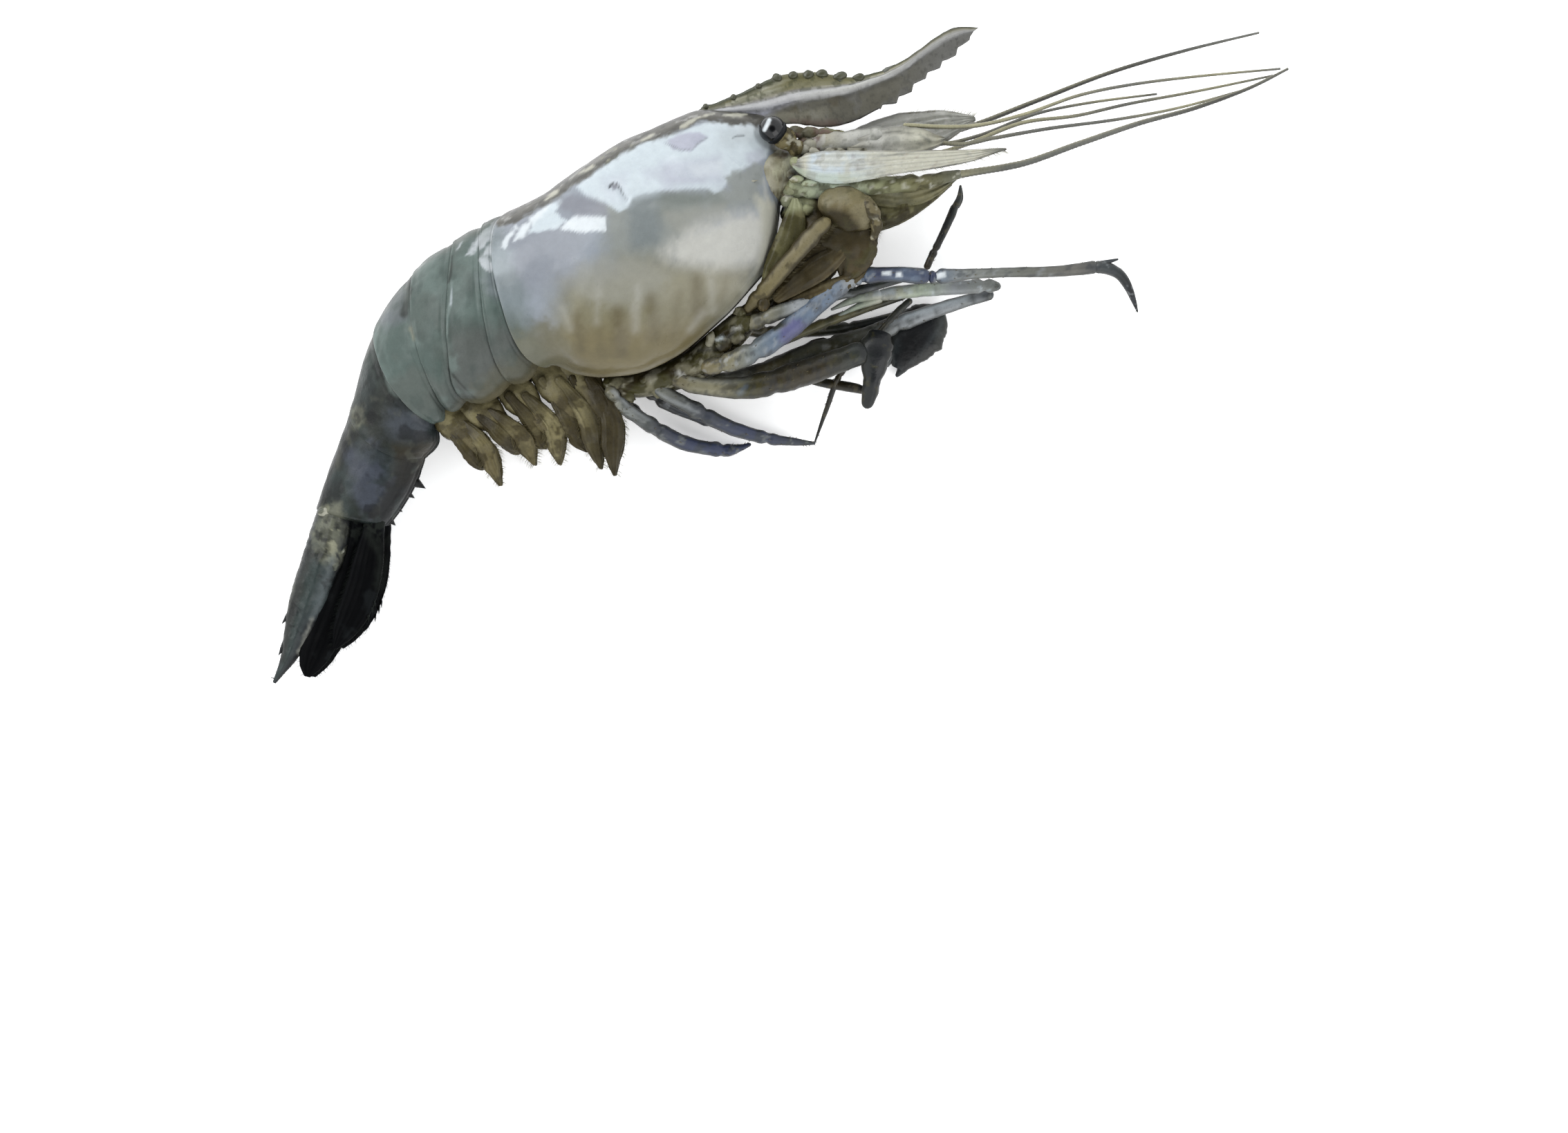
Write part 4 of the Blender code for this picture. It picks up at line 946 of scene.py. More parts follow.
def head_block():
    """Front of the head below the brow, from which eyes and feelers spring."""
    out = []
    ch = plate([(1096, 262, 13.8, 6.5, 7.5), (1130, 252, 13.8, 5.6, 6.6), (1160, 246, 13.8, 4.4, 5.4), (1190, 248, 13.8, 3.2, 4.0),
                (1214, 250, 13.8, 1.6, 2.2)], per_span=14, sides=52, kind=4, lens=1.0)
    n = noise(ch.v, 2.4, 3, 12)
    centre = place(1150, 250, 13.8)
    ch.v += unit(ch.v - centre) * (n * 0.45 * MM)[:, None]
    out.append(ch)
    for i, (x, y, z, a, b, c) in enumerate(((1134, 236, 17.6, 1.7, 1.2, 1.2), (1150, 228, 18.0, 1.3, 1.0, 1.0), (1142, 252, 19.0, 1.4, 1.2, 1.0),
                                            (1128, 262, 18.4, 1.2, 1.3, 1.0), (1136, 282, 18.0, 1.6, 1.1, 1.1), (1160, 240, 18.4, 1.1, 0.9, 0.9))):
        out.append(lump(x, y, z, a, b, c, turn=20 * i, seed=40 + i, rough=0.18, kind=4, rows=15, cols=20))
        out.append(lump(x, y, 27.6 - z, a, b, c, turn=20 * i, seed=50 + i, rough=0.18, kind=4, rows=13, cols=18))
    for i, (x, y, z, a, b, c, turn) in enumerate(((1152, 192, 16.4, 1.9, 1.3, 1.3, -10), (1172, 193, 16.6, 2.1, 1.3, 1.2, 4), (1194, 194, 16.4, 2.2, 1.2, 1.1, 0),
                                                  (1212, 194, 16.2, 1.5, 0.8, 0.9, -4), (1160, 218, 18.6, 1.5, 1.0, 1.0, 20), (1178, 222, 18.4, 1.3, 0.9, 0.9, -20),
                                                  (1168, 230, 19.4, 1.2, 0.9, 0.9, 10))):
        out.append(lump(x, y, z, a, b, c, turn=turn, seed=60 + i, rough=0.22, kind=4 if i < 4 else 5, rows=15, cols=20, grain=1.0))
    # spines of the front margin
    for s in (1, -1):
        out.append(spikes(place(1112, 246, 13.8 + s * 5.2), place(1136, 240, 13.8 + s * 5.6), 0.55 * MM, kind=5, sides=8))
        out.append(spikes(place(1078, 268, 13.9 + s * 8.6), place(1098, 264, 13.9 + s * 9.0), 0.5 * MM, kind=5, sides=8))
    # belly between the legs, and the rounded bases of the legs along it
    belly = plate([(872, 556, 13.9, 1.6, 3.0), (930, 556, 13.9, 2.6, 4.4), (998, 532, 13.9, 3.2, 5.0), (1052, 488, 13.9, 3.2, 4.8),
                   (1092, 448, 13.9, 2.2, 3.6), (1108, 428, 13.9, 0.8, 2.0)], per_span=17, sides=60, lens=1.0, kind=6)
    n = noise(belly.v, 2.6, 3, 91)
    belly.v[:, 2] += np.sign(belly.v[:, 2] - 13.9 * MM) * n * 0.9 * MM
    out.append(belly)
    for s in (1, -1):
        for i, (x, y, h, a, b, c, turn) in enumerate((
                (1094, 462, 3.4, 2.6, 1.5, 1.5, 18), (1078, 468, 4.6, 1.5, 1.2, 1.2, 70), (1062, 486, 4.8, 2.3, 1.7, 1.6, 35),
                (1046, 498, 5.2, 1.8, 1.5, 1.3, 80), (1036, 520, 4.4, 3.0, 1.6, 1.6, 12), (1014, 522, 5.0, 1.7, 1.5, 1.3, 50),
                (1000, 544, 3.8, 2.6, 1.5, 1.5, -12), (978, 540, 4.6, 1.8, 1.3, 1.3, 30), (950, 562, 3.2, 2.4, 1.4, 1.5, -38),
                (938, 552, 4.2, 1.5, 1.2, 1.1, 0), (902, 566, 3.0, 2.2, 1.4, 1.4, -50), (892, 556, 3.8, 1.5, 1.2, 1.2, 0),
                (1070, 452, 5.0, 1.2, 1.0, 0.9, 0), (1028, 492, 5.6, 1.2, 0.9, 0.8, 60), (1060, 505, 3.4, 1.6, 1.0, 1.2, 0))):
            out.append(lump(x, y, 13.9 + s * (h - 0.7), 1.15 * a, 1.1 * b, 0.85 * c, turn=turn, seed=100 + i, rough=0.34, kind=6, rows=15 + s * 2, cols=20 + s * 2, grain=1.0))
    return out


def carapace_piece():
    chunks = [build_carapace(), build_blade()] + build_teeth() + head_block()
    for c in chunks:
        c.slot = 1 if c.kind[0] in (2, 3) else (2 if c.kind[0] in (4, 6) else 0)
    make("carapace_and_rostrum", chunks, [SHELL, BLADEM, HEADM], ["cephalothorax"], "steel", paint_carapace, seed=3)


# --------------------------------------------------------------- tail segments
def build_ring(front, rear, seed, margin=163.0, rows=58, scallop=SCALLOP, lobe=1.0, last=False):
    ang = columns(112, 68, margin)
    s = np.concatenate([np.linspace(-0.26, 0, 9)[:-1], np.linspace(0, 1, rows)])
    tail_s = np.array([1.0, 0.995, 0.985, 0.95, 0.88])
    tail_out = np.array([0.990, 0.974, 0.962, 0.956, 0.954])
    ss = np.concatenate([s, tail_s])[:, None]
    main = np.clip(s, 0, 1)
    grow = FRONT_SCALE + (1 - FRONT_SCALE) * smooth(main / 0.55) ** 0.8
    grow = np.where(s < 0, FRONT_SCALE - 0.012 + 0.04 * s, grow)
    scale = np.concatenate([grow, tail_out])[:, None]
    rise = scallop * (1 - np.sin(math.pi * (np.clip(ss, 0, 1) * 0.92 + 0.04)))
    shell = (np.arange(len(ss)) < len(s))[:, None]
    lead = GAP / step_length(front)
    a = ang[None, :]
    out = inset(front + (rear - front) * np.clip(ss, 0, 1) + 0 * a, a + 0 * ss, scale + 0 * a, rise + 0 * a)
    u0 = edge(front, a, out) + lead
    u1 = edge(rear, a, out)
    p = skin(u0 + (u1 - u0) * ss, a + 0 * ss, out)
    deg = np.degrees(flank_side(ang))[None, :]
    h = np.zeros(p.shape[:2])
    h += shell * (0.04 * bump(ss, 0.955, 0.035) - 0.03 * bump(ss, 0.87, 0.05))
    h -= shell * 0.08 * bump(ss, 0.13, 0.05)
    h += shell * 0.06 * bump(ss, 0.5, 0.30)
    on = smooth(ss / 0.15) * smooth((1.02 - ss) / 0.1)
    h += on * 0.16 * bump(deg, margin - 3.5, 2.6) - on * 0.10 * bump(deg, margin - 10, 3.0)
    under = smooth((deg - margin + 1.2) / 3.2)
    h -= under * 1.5 * shell
    flat = p.reshape(-1, 3)
    h += shell * 0.10 * noise(flat, 6.0, 2, seed).reshape(h.shape)
    h += shell * 0.04 * noise(flat, 1.8, 3, seed + 3).reshape(h.shape)
    # faint ribs along the flank where muscle shows through
    h += shell * 0.025 * np.sin(deg / 180 * 46 + 2.0 * noise(flat, 7, 2, seed + 6).reshape(h.shape)) * smooth((deg - 20) / 30) * smooth((140 - deg) / 20)
    p = lift(p, h)
    if last:
        p = p[: len(s)]
        ss = ss[: len(s)]
        centre = p.mean(1, keepdims=True)
        close = np.clip((ss - 0.90) / 0.10, 0, 1)[..., None]
        p = centre + (p - centre) * np.sqrt(1 - 0.55 * close ** 2)
    return closed_grid(p, np.broadcast_to(ss, p.shape[:2]), np.broadcast_to(np.cos(ang)[None, :], p.shape[:2]), 0)


def paint_ring(n, margin=163.0):
    def paint(p):
        # the abdomen as one picture; each ring takes its share of it
        P, S = p.patch, p.stroke
        P("teal", [(700, 300), (790, 420), (760, 600), (600, 640), (540, 480), (600, 380)], soft=20)
        P("ring_grey", [(644, 480), (700, 466), (800, 468), (830, 520), (790, 600), (650, 612)], soft=26, strength=0.85, wobble=8)
        P("sage_dark", [(640, 450), (660, 560), (610, 600), (585, 520)], soft=16, strength=0.7)
        P("teal_pale", [(662, 372), (694, 352), (716, 380), (708, 440), (672, 458), (658, 420)], soft=12, strength=0.35)
        P("teal_dark", [(680, 400), (692, 395), (690, 440), (680, 445)], soft=6, strength=0.6)
        P("teal_pale", [(598, 384), (630, 366), (640, 400), (632, 432), (600, 424)], soft=10, wobble=6, strength=0.45)
        P("steel", [(690, 352), (750, 320), (800, 380), (790, 470), (736, 450), (706, 410)], soft=16, strength=0.7, wobble=7)
        P("ring_khaki", [(690, 560), (730, 528), (780, 492), (850, 500), (850, 590), (690, 625)], soft=18, strength=0.9, wobble=7)
        P("umber", [(740, 545), (790, 510), (830, 520), (820, 570), (760, 590)], soft=14, strength=0.5, wobble=7)
        # fourth ring: teal lobe with a pale rear rim
        P("teal", [(545, 470), (560, 440), (600, 400), (640, 480), (650, 560), (600, 590), (556, 566), (541, 520)], soft=10, strength=0.9)
        P("sage_dark", [(560, 556), (600, 530), (650, 560), (640, 610), (580, 596)], soft=9, strength=0.7)
        S("teal_pale", [(543, 474), (541, 520), (550, 560), (560, 568)], width=4, soft=3, wobble=1.5, strength=0.8)
        P("slate_lilac", [(545, 462), (560, 430), (586, 420), (590, 462), (560, 480)], soft=7, strength=0.55)
        # painted shadow: dark stroke under the rear edge of the third ring
        S("char", [(590, 398), (592, 426), (586, 456)], width=9, soft=4, wobble=3, strength=0.85)
        # painted glint: pale patch and cream stroke on the third ring's rear edge
        P("teal_pale", [(590, 470), (604, 468), (612, 500), (598, 506)], soft=6, strength=0.5)
        S("cream", [(597, 478), (601, 492)], width=4, soft=3, strength=0.7)
        # slit, pale line and crease between second and third ring: the dark slit and crease are painted shade, and the
        # ice stroke on the pale line is a painted glint
        S("char", [(656, 372), (655, 400), (652, 412)], width=3.2, soft=1.6, wobble=0.8)
        S("teal_pale", [(657, 410), (656, 432), (652, 460), (650, 492)], width=3.0, soft=1.8, wobble=1.0, strength=0.9)
        S("ice", [(657, 421), (656, 444)], width=2.2, soft=1.5, wobble=0.8, strength=0.8)
        S("char", [(652, 536), (668, 556), (690, 578)], width=2.5, soft=2, wobble=1, strength=0.8)
        P("teal_pale", [(652, 520), (664, 518), (666, 534), (656, 540)], soft=4, strength=0.6)
        # bright slashes behind the carapace: painted highlights
        P("teal_pale", [(672, 380), (700, 346), (736, 322), (744, 350), (728, 396), (700, 404)], soft=12, wobble=8, strength=0.55)
        for patch in ([(674, 374), (686, 354), (700, 338), (716, 322), (734, 310), (740, 314), (726, 330), (712, 344), (700, 358), (686, 370)],
                      [(700, 372), (716, 352), (734, 338), (742, 340), (730, 356), (716, 374)],
                      [(694, 378), (708, 376), (718, 392), (712, 398), (700, 388)], [(660, 366), (666, 352), (672, 346), (668, 360)]):
            P("ice_white", patch, soft=2.6, wobble=3.4, strength=0.95)
        S("teal_pale", [(716, 400), (730, 430)], width=5, soft=6, wobble=3, strength=0.6)
        p.mottle("sage_dark", 6.0, 0.05, 0.40, seed=66, soft=0.6)
        p.mottle("teal_pale", 4.5, 0.30, 0.32, seed=67, soft=0.5)
        p.mottle("teal_dark", 3.2, 0.25, 0.40, seed=68, soft=0.5)
        p.lay("khaki", 0.55 * smooth((-0.80 - p.across) / 0.14) * smooth((p.x - 640) / 50))
        if n >= 5:
            P("char", [(440, 480), (560, 470), (548, 520), (566, 572), (680, 600), (640, 700), (560, 780), (420, 780)], soft=3, wobble=1)
            P("slate", [(560, 590), (610, 584), (642, 600), (640, 632), (600, 642), (564, 626)], soft=16, wobble=8, strength=0.85)
            P("teal_dark", [(512, 520), (540, 500), (552, 556), (530, 600), (512, 580)], soft=10, strength=0.45)
            P("cream_dim", [(500, 590), (524, 586), (530, 612), (508, 618)], soft=5, wobble=5)
            p.mottle("cream", 1.2, 0.2, 0.8, seed=61, only=smooth(1 - np.hypot(p.x - 516, p.y - 602) / 20))
            P("cream_dim", [(480, 640), (492, 646), (490, 680), (478, 682)], soft=4, wobble=3)
            P("mud", [(572, 648), (630, 636), (622, 690), (575, 712)], soft=12, wobble=7, strength=0.85)
            P("ink", [(566, 668), (604, 660), (612, 690), (590, 716), (566, 716)], soft=9, wobble=7, strength=0.7)
            P("ink", [(486, 600), (504, 596), (506, 640), (496, 680), (478, 716), (452, 744), (446, 720)], soft=9, wobble=7, strength=0.65)
            P("ink", [(516, 560), (540, 540), (552, 580), (540, 610), (516, 600)], soft=9, wobble=7, strength=0.6)
            P("slate_violet", [(500, 652), (548, 640), (564, 690), (548, 724), (530, 742), (514, 722), (502, 690)], soft=13, wobble=9, strength=0.9)
            P("pine", [(470, 690), (500, 670), (512, 740), (480, 760)], soft=10, wobble=4, strength=0.6)
            P("ink", [(540, 742), (566, 706), (604, 700), (604, 790), (490, 790), (510, 756)], soft=9, wobble=8, strength=0.9)
            p.mottle("slate", 1.6, 0.35, 0.5, seed=69, soft=0.4, only=smooth(1 - np.hypot(p.x - 528, p.y - 752) / 30))
            S("black", [(500, 596), (476, 680), (452, 742)], width=4, soft=3, wobble=1.5)
            p.mottle("cream_dim", 3.0, 0.55, 0.25, seed=62, soft=0.3)
            p.mottle("black", 3.2, 0.10, 0.60, seed=63, soft=0.4)
            p.mottle("pine", 5.0, 0.20, 0.40, seed=60, soft=0.4)
            P("cream_dim", [(452, 735), (492, 726), (500, 780), (450, 790)], soft=7, wobble=5)
            p.mottle("cream", 1.3, 0.0, 0.8, seed=64, only=smooth(1 - np.hypot(p.x - 474, (p.y - 762) / 2) / 24))
        # rear rim with a faint light line that is a painted glint, painted shade along the hinge line, and the back
        if n < 6:
            p.lay("teal_pale" if n < 5 else "slate", 0.22 * bump(p.along, 0.965, 0.022) * smooth(p.broad + 0.2))
        p.lay("rim_dark" if n < 5 else "black", 0.10 * bump(p.along, 0.86, 0.04) * smooth(p.broad + 0.6))
        p.lay("char" if n < 5 else "black", (0.45 if n < 4 else 0.8) * smooth((p.across - 0.966) / 0.03))
        if n == 6:
            p.lay("ink", 0.85 * smooth((p.along - 0.955) / 0.04) * smooth((p.x - 500) / 20))
        p.lay("rim_grey" if n < 4 else "char", 0.30 * smooth((p.across - 0.90) / 0.05))
        m = math.cos(math.radians(margin))
        p.lay("taupe" if n < 5 else "ink", 0.8 * smooth((m + 0.01 - p.across) / 0.02))
        p.mottle("umber", 2.0, 0.1, 0.5, only=(p.across < m) * 1.0)
        p.lay("black", (p.kind == 1) * 0.8)
        p.shade(0.70 if n < 5 else 0.78)
    return paint


def abdomen():
    for n, front, rear, scallop, margin in ((1, 9, 10, 1.2, 163), (2, 10, 11, 1.3, 165), (3, 11, 12, 1.4, 163), (4, 12, 13, 1.6, 163),
                                            (5, 13, 14, 1.4, 163), (6, 14, 15, 1.0, 166)):
        chunks = [build_ring(front, rear, 70 + n, margin, 60 if n > 3 else 52, scallop, last=(n == 6))]
        if n == 6:
            for x, y, dx, dy, r in ((586, 690, 26, 16, 1.6), (574, 706, 22, 14, 1.4), (560, 728, 18, 12, 1.3), (552, 744, 16, 16, 1.2)):
                for z in (7.4, 5.2):
                    chunks.append(spikes(place(x, y, z), place(x + dx, y + dy, z), r * MM, kind=1, sides=9))
        make("shell_ring_%d" % n, chunks, RINGM if n < 5 else TAILM, ["abdomen_%d" % n],
             "teal" if n < 5 else "char", paint_ring(n, margin), seed=20 + n)


# ------------------------------------------------------------------- tail fan
def tail_fan():
    pts = [(486, 722, 7.0, 3.2, 3.6), (480, 750, 6.9, 4.0, 4.2), (467, 800, 6.9, 4.4, 4.0), (452, 840, 6.8, 4.2, 3.4), (438, 880, 6.6, 3.8, 2.8),
           (426, 915, 6.4, 2.9, 2.2), (413, 950, 6.2, 1.7, 1.5), (391, 989, 6.0, 0.35, 0.5)]
    t = plate(pts, per_span=26, sides=72, ribs=0, keel=0.5, kind=0, lens=0.9, edge_noise=0.03, seed=5, wave=0.25)
    n = noise(t.v, 1.6, 3, 77)
    t.v[:, 2] += np.where(t.v[:, 2] > 6.6 * MM, n, 0) * 0.16 * MM
    chunks = [t]
    for x, y, dx, dy, z in ((418, 884, -16, 20, 6.8), (409, 930, -12, 20, 6.4)):
        chunks.append(spikes(place(x, y, z), place(x + dx, y + dy, z), 0.85 * MM, kind=1, sides=7))
    for i, (x, y, z, a, b) in enumerate(((470, 742, 10.6, 1.5, 1.0), (484, 752, 10.8, 1.2, 1.1), (462, 768, 10.2, 1.1, 1.3), (486, 772, 10.4, 1.3, 1.1),
                                         (474, 790, 10.6, 1.2, 1.4), (488, 796, 9.8, 1.0, 1.0), (468, 812, 10.2, 0.9, 1.2), (482, 818, 10.0, 0.9, 1.0))):
        chunks.append(lump(x, y, z - 0.25, a, b, 0.6, turn=40 * i, seed=i, rough=0.34, kind=2, rows=15, cols=20))
    chunks.append(fringe(t, 1, 0.80, 0.98, 26, 1.6, seed=4))
    chunks.append(fringe(t, -1, 0.80, 0.98, 26, 1.6, seed=6))

    def paint(p):
        p.ramp([(-1, "rim_dark"), (-0.8, "gunmetal"), (-0.3, "pine"), (0.3, "gunmetal"), (0.8, "ink"), (1, "black")], -p.across)
        p.patch("pine", [(446, 800), (486, 800), (470, 880), (440, 900), (430, 860)], soft=9, wobble=5, strength=0.7)
        p.patch("cream_dim", [(456, 720), (490, 730), (494, 800), (474, 822), (454, 800)], soft=10, wobble=9, strength=0.9)
        p.mottle("cream", 1.4, 0.05, 0.85, seed=81, only=smooth(1 - np.hypot(p.x - 476, (p.y - 780) / 1.6) / 32))
        p.mottle("ink", 1.2, 0.15, 0.8, seed=82, only=smooth(1 - np.hypot(p.x - 474, (p.y - 780) / 2) / 40))
        p.stroke("rim_dark", [(446, 800), (430, 846), (414, 900), (404, 950)], width=13, soft=8, wobble=3, strength=0.7)
        p.stroke("steel_dark", [(478, 808), (466, 850), (450, 892)], width=11, soft=8, wobble=3, strength=0.55)
        # painted highlight: pale streak along the telson's edge near the tip
        p.stroke("smoke", [(448, 896), (440, 918), (428, 944)], width=5, soft=4.5, wobble=2.5, strength=0.8)
        p.stroke("smoke_dark", [(420, 842), (416, 866), (411, 884)], width=4, soft=3, strength=0.7)
        p.stroke("smoke_dark", [(440, 950), (420, 968), (398, 984)], width=3, soft=3, strength=0.35)
        p.mottle("black", 2.0, 0.2, 0.45, seed=83)
        p.lay("cream_dim", (p.kind == 2) * 0.6)
        p.mottle("bone", 1.2, 0.1, 0.8, seed=84, only=(p.kind == 2) * 1.0)
        p.mottle("char", 1.4, 0.1, 0.8, seed=85, only=(p.kind == 2) * 1.0)
        p.lay("ink", (p.kind == 1) * 0.9)
        p.shade(0.85)
    make("telson_plate", chunks, TAILM, ["telson"], "gunmetal", paint, seed=31)

    outer = [(550, 724, 1.2, 1.1), (549, 750, 2.1, 1.0), (545, 776, 2.6, 0.9), (538, 815, 3.4, 0.8), (530, 850, 3.7, 0.7), (517, 885, 3.5, 0.6),
             (502, 915, 2.4, 0.5), (490, 938, 0.6, 0.35)]
    inner = [(524, 726, 2.0, 1.1), (521, 750, 2.8, 1.0), (516, 776, 3.1, 0.9), (507, 815, 3.6, 0.8), (493, 860, 4.0, 0.7), (478, 900, 4.2, 0.6),
             (462, 940, 3.6, 0.55), (453, 964, 2.4, 0.45), (449, 980, 0.7, 0.35)]
    for side, levels in (("right", (10.6, 8.4)), ("left", (2.4, 4.7))):
        drift = -0.9 if side == "right" else 0.0
        shift = 0 if side == "right" else 6
        for label, table, z in (("outer", outer, levels[0]), ("inner", inner, levels[1])):
            n = len(table) - 1
            rows = [(x + shift - 9, y, z + drift * i / n, 0.94 * a, b) for i, (x, y, a, b) in enumerate(table)]
            ch = plate(rows, per_span=16, sides=56, ribs=5 if label == "outer" else 4, rib_mm=0.05, keel=0.35, cup=0.10, wave=0.2,
                       seed=11, edge_noise=0.03)
            chunks = [ch, fringe(ch, 1, 0.35, 0.99, 110, 1.5, seed=2, lean=1.0), fringe(ch, -1, 0.35, 0.99, 110, 1.5, seed=3, lean=1.0)]
            if label == "outer":
                for q in (0.62, 0.66, 0.70):
                    k = int(q * (len(ch.path) - 1))
                    b = ch.path[k] + ch.side[k] * ch.a[k] * -0.95
                    chunks.append(spikes(b, b + ch.dirn[k] * 1.6 * MM - ch.side[k] * 0.6 * MM, 0.25 * MM, kind=1))

            def paint(p):
                p.ramp([(0, "ink"), (0.3, "black"), (1, "black")])
                p.lay("slate_violet", 0.05 * smooth(np.cos(5 * math.pi * p.across) - 0.5) * (p.kind == 0))
                p.mottle("gunmetal", 3.5, 0.4, 0.20, seed=91, soft=0.5)
                p.mottle("char", 1.8, 0.1, 0.7, seed=92, only=smooth((800 - p.y) / 40))
                p.stroke("char", [(532, 772), (548, 806), (545, 850)], width=8, soft=8, wobble=4, strength=0.5)
                p.lay("char", (p.kind == 1) * 0.5)
                p.shade(0.75)
            make("uropod_%s_%s_plate" % (label, side), chunks, FANM, ["uropod_%s_%s" % (label, side)], "ink", paint, seed=33)


# ----------------------------------------------------------------------- eyes
def eyes():
    for side, zeye, zroot in (("right", 20.9, 19.2), ("left", 6.5, 8.2)):
        sg = 1 if side == "right" else -1
        ball = lump(1117, 190, zeye, 2.72, 2.72, 2.72, rough=0.0, kind=0, rows=56, cols=72)
        ball.slot = 0
        stalk = limb([(1160, 222, zroot - sg * 0.5, 1.5), (1146, 212, zroot, 1.9), (1134, 202, 0.6 * zroot + 0.4 * zeye, 2.1), (1120, 192, zeye, 2.3)],
                     joints=(1,), per_span=16, sides=32, rough=0.05, seed=3, kind=2)
        stalk.slot = 1
        # ring of shell where the cornea meets the stalk
        a, b = place(1117, 190, zeye), place(1136, 204, 0.6 * zroot + 0.4 * zeye)
        d = unit(b - a)
        s1 = unit(np.cross(d, np.array([0, 0, 1.0])))
        s2 = np.cross(s1, d)
        th = np.linspace(0, 2 * math.pi, 48, endpoint=False)
        rings = []
        for off, r in ((0.9, 2.52), (1.1, 2.66), (1.4, 2.62), (1.8, 2.38), (2.2, 2.1)):
            rings.append(a + d * off * MM + (s1 * np.cos(th)[:, None] + s2 * np.sin(th)[:, None]) * r * MM)
        collar = closed_grid(np.array(rings), np.linspace(0, 1, 5)[:, None], 0.0, 3)
        collar.slot = 1

        def paint(p):
            p.lay("black", (p.kind == 0) * 1.0)
            p.lay("gunmetal", (p.kind == 0) * 0.10 * smooth((-p.fine) / 0.5))
            # painted glint: white stroke on the outer side of the cornea
            p.stroke("ice_white", [(1106, 192), (1113, 178)], width=5.5, soft=1.6, wobble=0.0, only=(p.kind == 0) * ((p.z - zeye) * sg > 0))
            p.lay("khaki", (p.kind == 2) * 1.0)
            p.mottle("mud", 0.8, 0.0, 0.8, only=(p.kind == 2) * 1.0)
            p.mottle("beige_warm", 0.9, 0.3, 0.8, seed=12, only=(p.kind == 2) * 1.0)
            p.lay("ink", (p.kind == 3) * 1.0)
        make("eye_and_stalk_" + side, [ball, stalk, collar], [EYEM, HEADM], ["eye_" + side], "black", paint, seed=9)


# --------------------------------------------------- antennal plates, feelers
def scales():
    right = plate([(1146, 241, 22.0, 0.6, 0.6), (1164, 243, 22.4, 2.2, 0.7), (1190, 245, 22.7, 3.2, 0.7), (1225, 245, 22.8, 3.3, 0.65), (1290, 239, 22.5, 2.4, 0.6),
                   (1350, 234, 22.2, 1.9, 0.55), (1405, 228, 21.9, 1.2, 0.45), (1440, 221, 21.7, 0.5, 0.3), (1454, 219, 21.6, 0.2, 0.22)],
                  per_span=20, sides=72, ribs=5, rib_mm=0.13, keel=0.22, cup=0.10, wave=0.35, seed=14)
    left = plate([(1196, 218, 9.9, 1.4, 0.7), (1250, 208, 9.9, 4.0, 0.7), (1306, 196, 9.8, 5.0, 0.6), (1362, 180, 9.6, 3.4, 0.55),
                  (1395, 172, 9.4, 1.6, 0.45), (1412, 169, 9.3, 0.4, 0.3)],
                 per_span=24, sides=72, ribs=6, rib_mm=0.12, keel=0.2, cup=0.08, wave=0.4, seed=15)

    def paint_right(p):
        p.ramp([(0, "umber"), (0.04, "taupe"), (0.08, "smoke_dark"), (0.14, "bone"), (0.2, "ice"), (0.34, "ice"), (0.50, "bone"), (0.75, "bone"), (0.92, "smoke_dark"), (1, "rim_dark")], p.along + 0.03 * p.broad)
        p.mottle("cream_dim", 1.6, -0.1, 0.7, seed=20, only=smooth((0.13 - p.along) / 0.08))
        p.mottle("bone", 2.6, 0.0, 0.6, seed=24, soft=0.4)
        p.lay("bone", 0.5 * smooth(np.cos(5 * math.pi * p.across)) * smooth((p.along - 0.3) / 0.2))
        p.lay("mint", 0.6 * smooth((p.across - 0.25) / 0.3) * smooth((0.5 - p.along) / 0.2))
        p.lay("smoke_dark", 0.75 * smooth((np.abs(p.across) - 0.80) / 0.15) * smooth((p.along - 0.45) / 0.2))
        p.lay("umber", 0.55 * smooth((-p.across - 0.82) / 0.12))
        p.stroke("rim_dark", [(1345, 248), (1400, 238), (1452, 220)], width=1.6, soft=1.5, wobble=0.8, strength=0.8)
        p.stroke("smoke_dark", [(1262, 232), (1330, 222), (1400, 216)], width=1.6, soft=2, wobble=1, strength=0.7)
        p.mottle("smoke", 2.0, 0.2, 0.5, seed=21)
        p.mottle("rose", 1.2, 0.55, 0.25, seed=23)
        p.lay("straw", (p.kind == 1) * 0.8)

    def paint_left(p):
        p.ramp([(0, "smoke"), (0.2, "beige"), (0.6, "smoke"), (0.85, "smoke"), (1, "smoke_dark")])
        p.lay("smoke_dark", 0.22 * smooth(np.cos(6 * math.pi * p.across) - 0.2))
        p.stroke("smoke_dark", [(1300, 200), (1306, 180), (1325, 172), (1350, 176), (1358, 190), (1345, 202)], width=2.2, soft=2, wobble=1.4, strength=0.9)
        # painted highlight: the pale stroke and ice patch inside the dark ring
        p.stroke("beige", [(1312, 190), (1330, 182), (1348, 188)], width=7, soft=5, wobble=2, strength=0.6)
        p.patch("ice", [(1328, 186), (1344, 186), (1344, 196), (1328, 196)], soft=3, wobble=1)
        p.patch("beige", [(1250, 215), (1300, 200), (1320, 214), (1270, 228)], soft=8, wobble=4, strength=0.5)
        p.mottle("smoke_dark", 1.6, 0.3, 0.30, seed=22)
        p.mottle("beige", 2.4, 0.2, 0.5, seed=38)
        p.lay("rim_dark", 0.6 * smooth((np.abs(p.across) - 0.88) / 0.1))
        p.lay("straw", (p.kind == 1) * 0.8)
    for name, ch, fn, m in (("right", right, paint_right, 1), ("left", left, paint_left, -1)):
        hairs = [fringe(ch, m, 0.45, 0.97, 130, 1.8, radius=0.03, seed=5, lean=1.4), fringe(ch, -m, 0.5, 0.96, 60, 1.0, radius=0.03, seed=6, lean=1.4)]
        make("antennal_plate_" + name, [ch] + hairs, SCALEM, ["antennal_scale_" + name], "smoke", fn, seed=40)


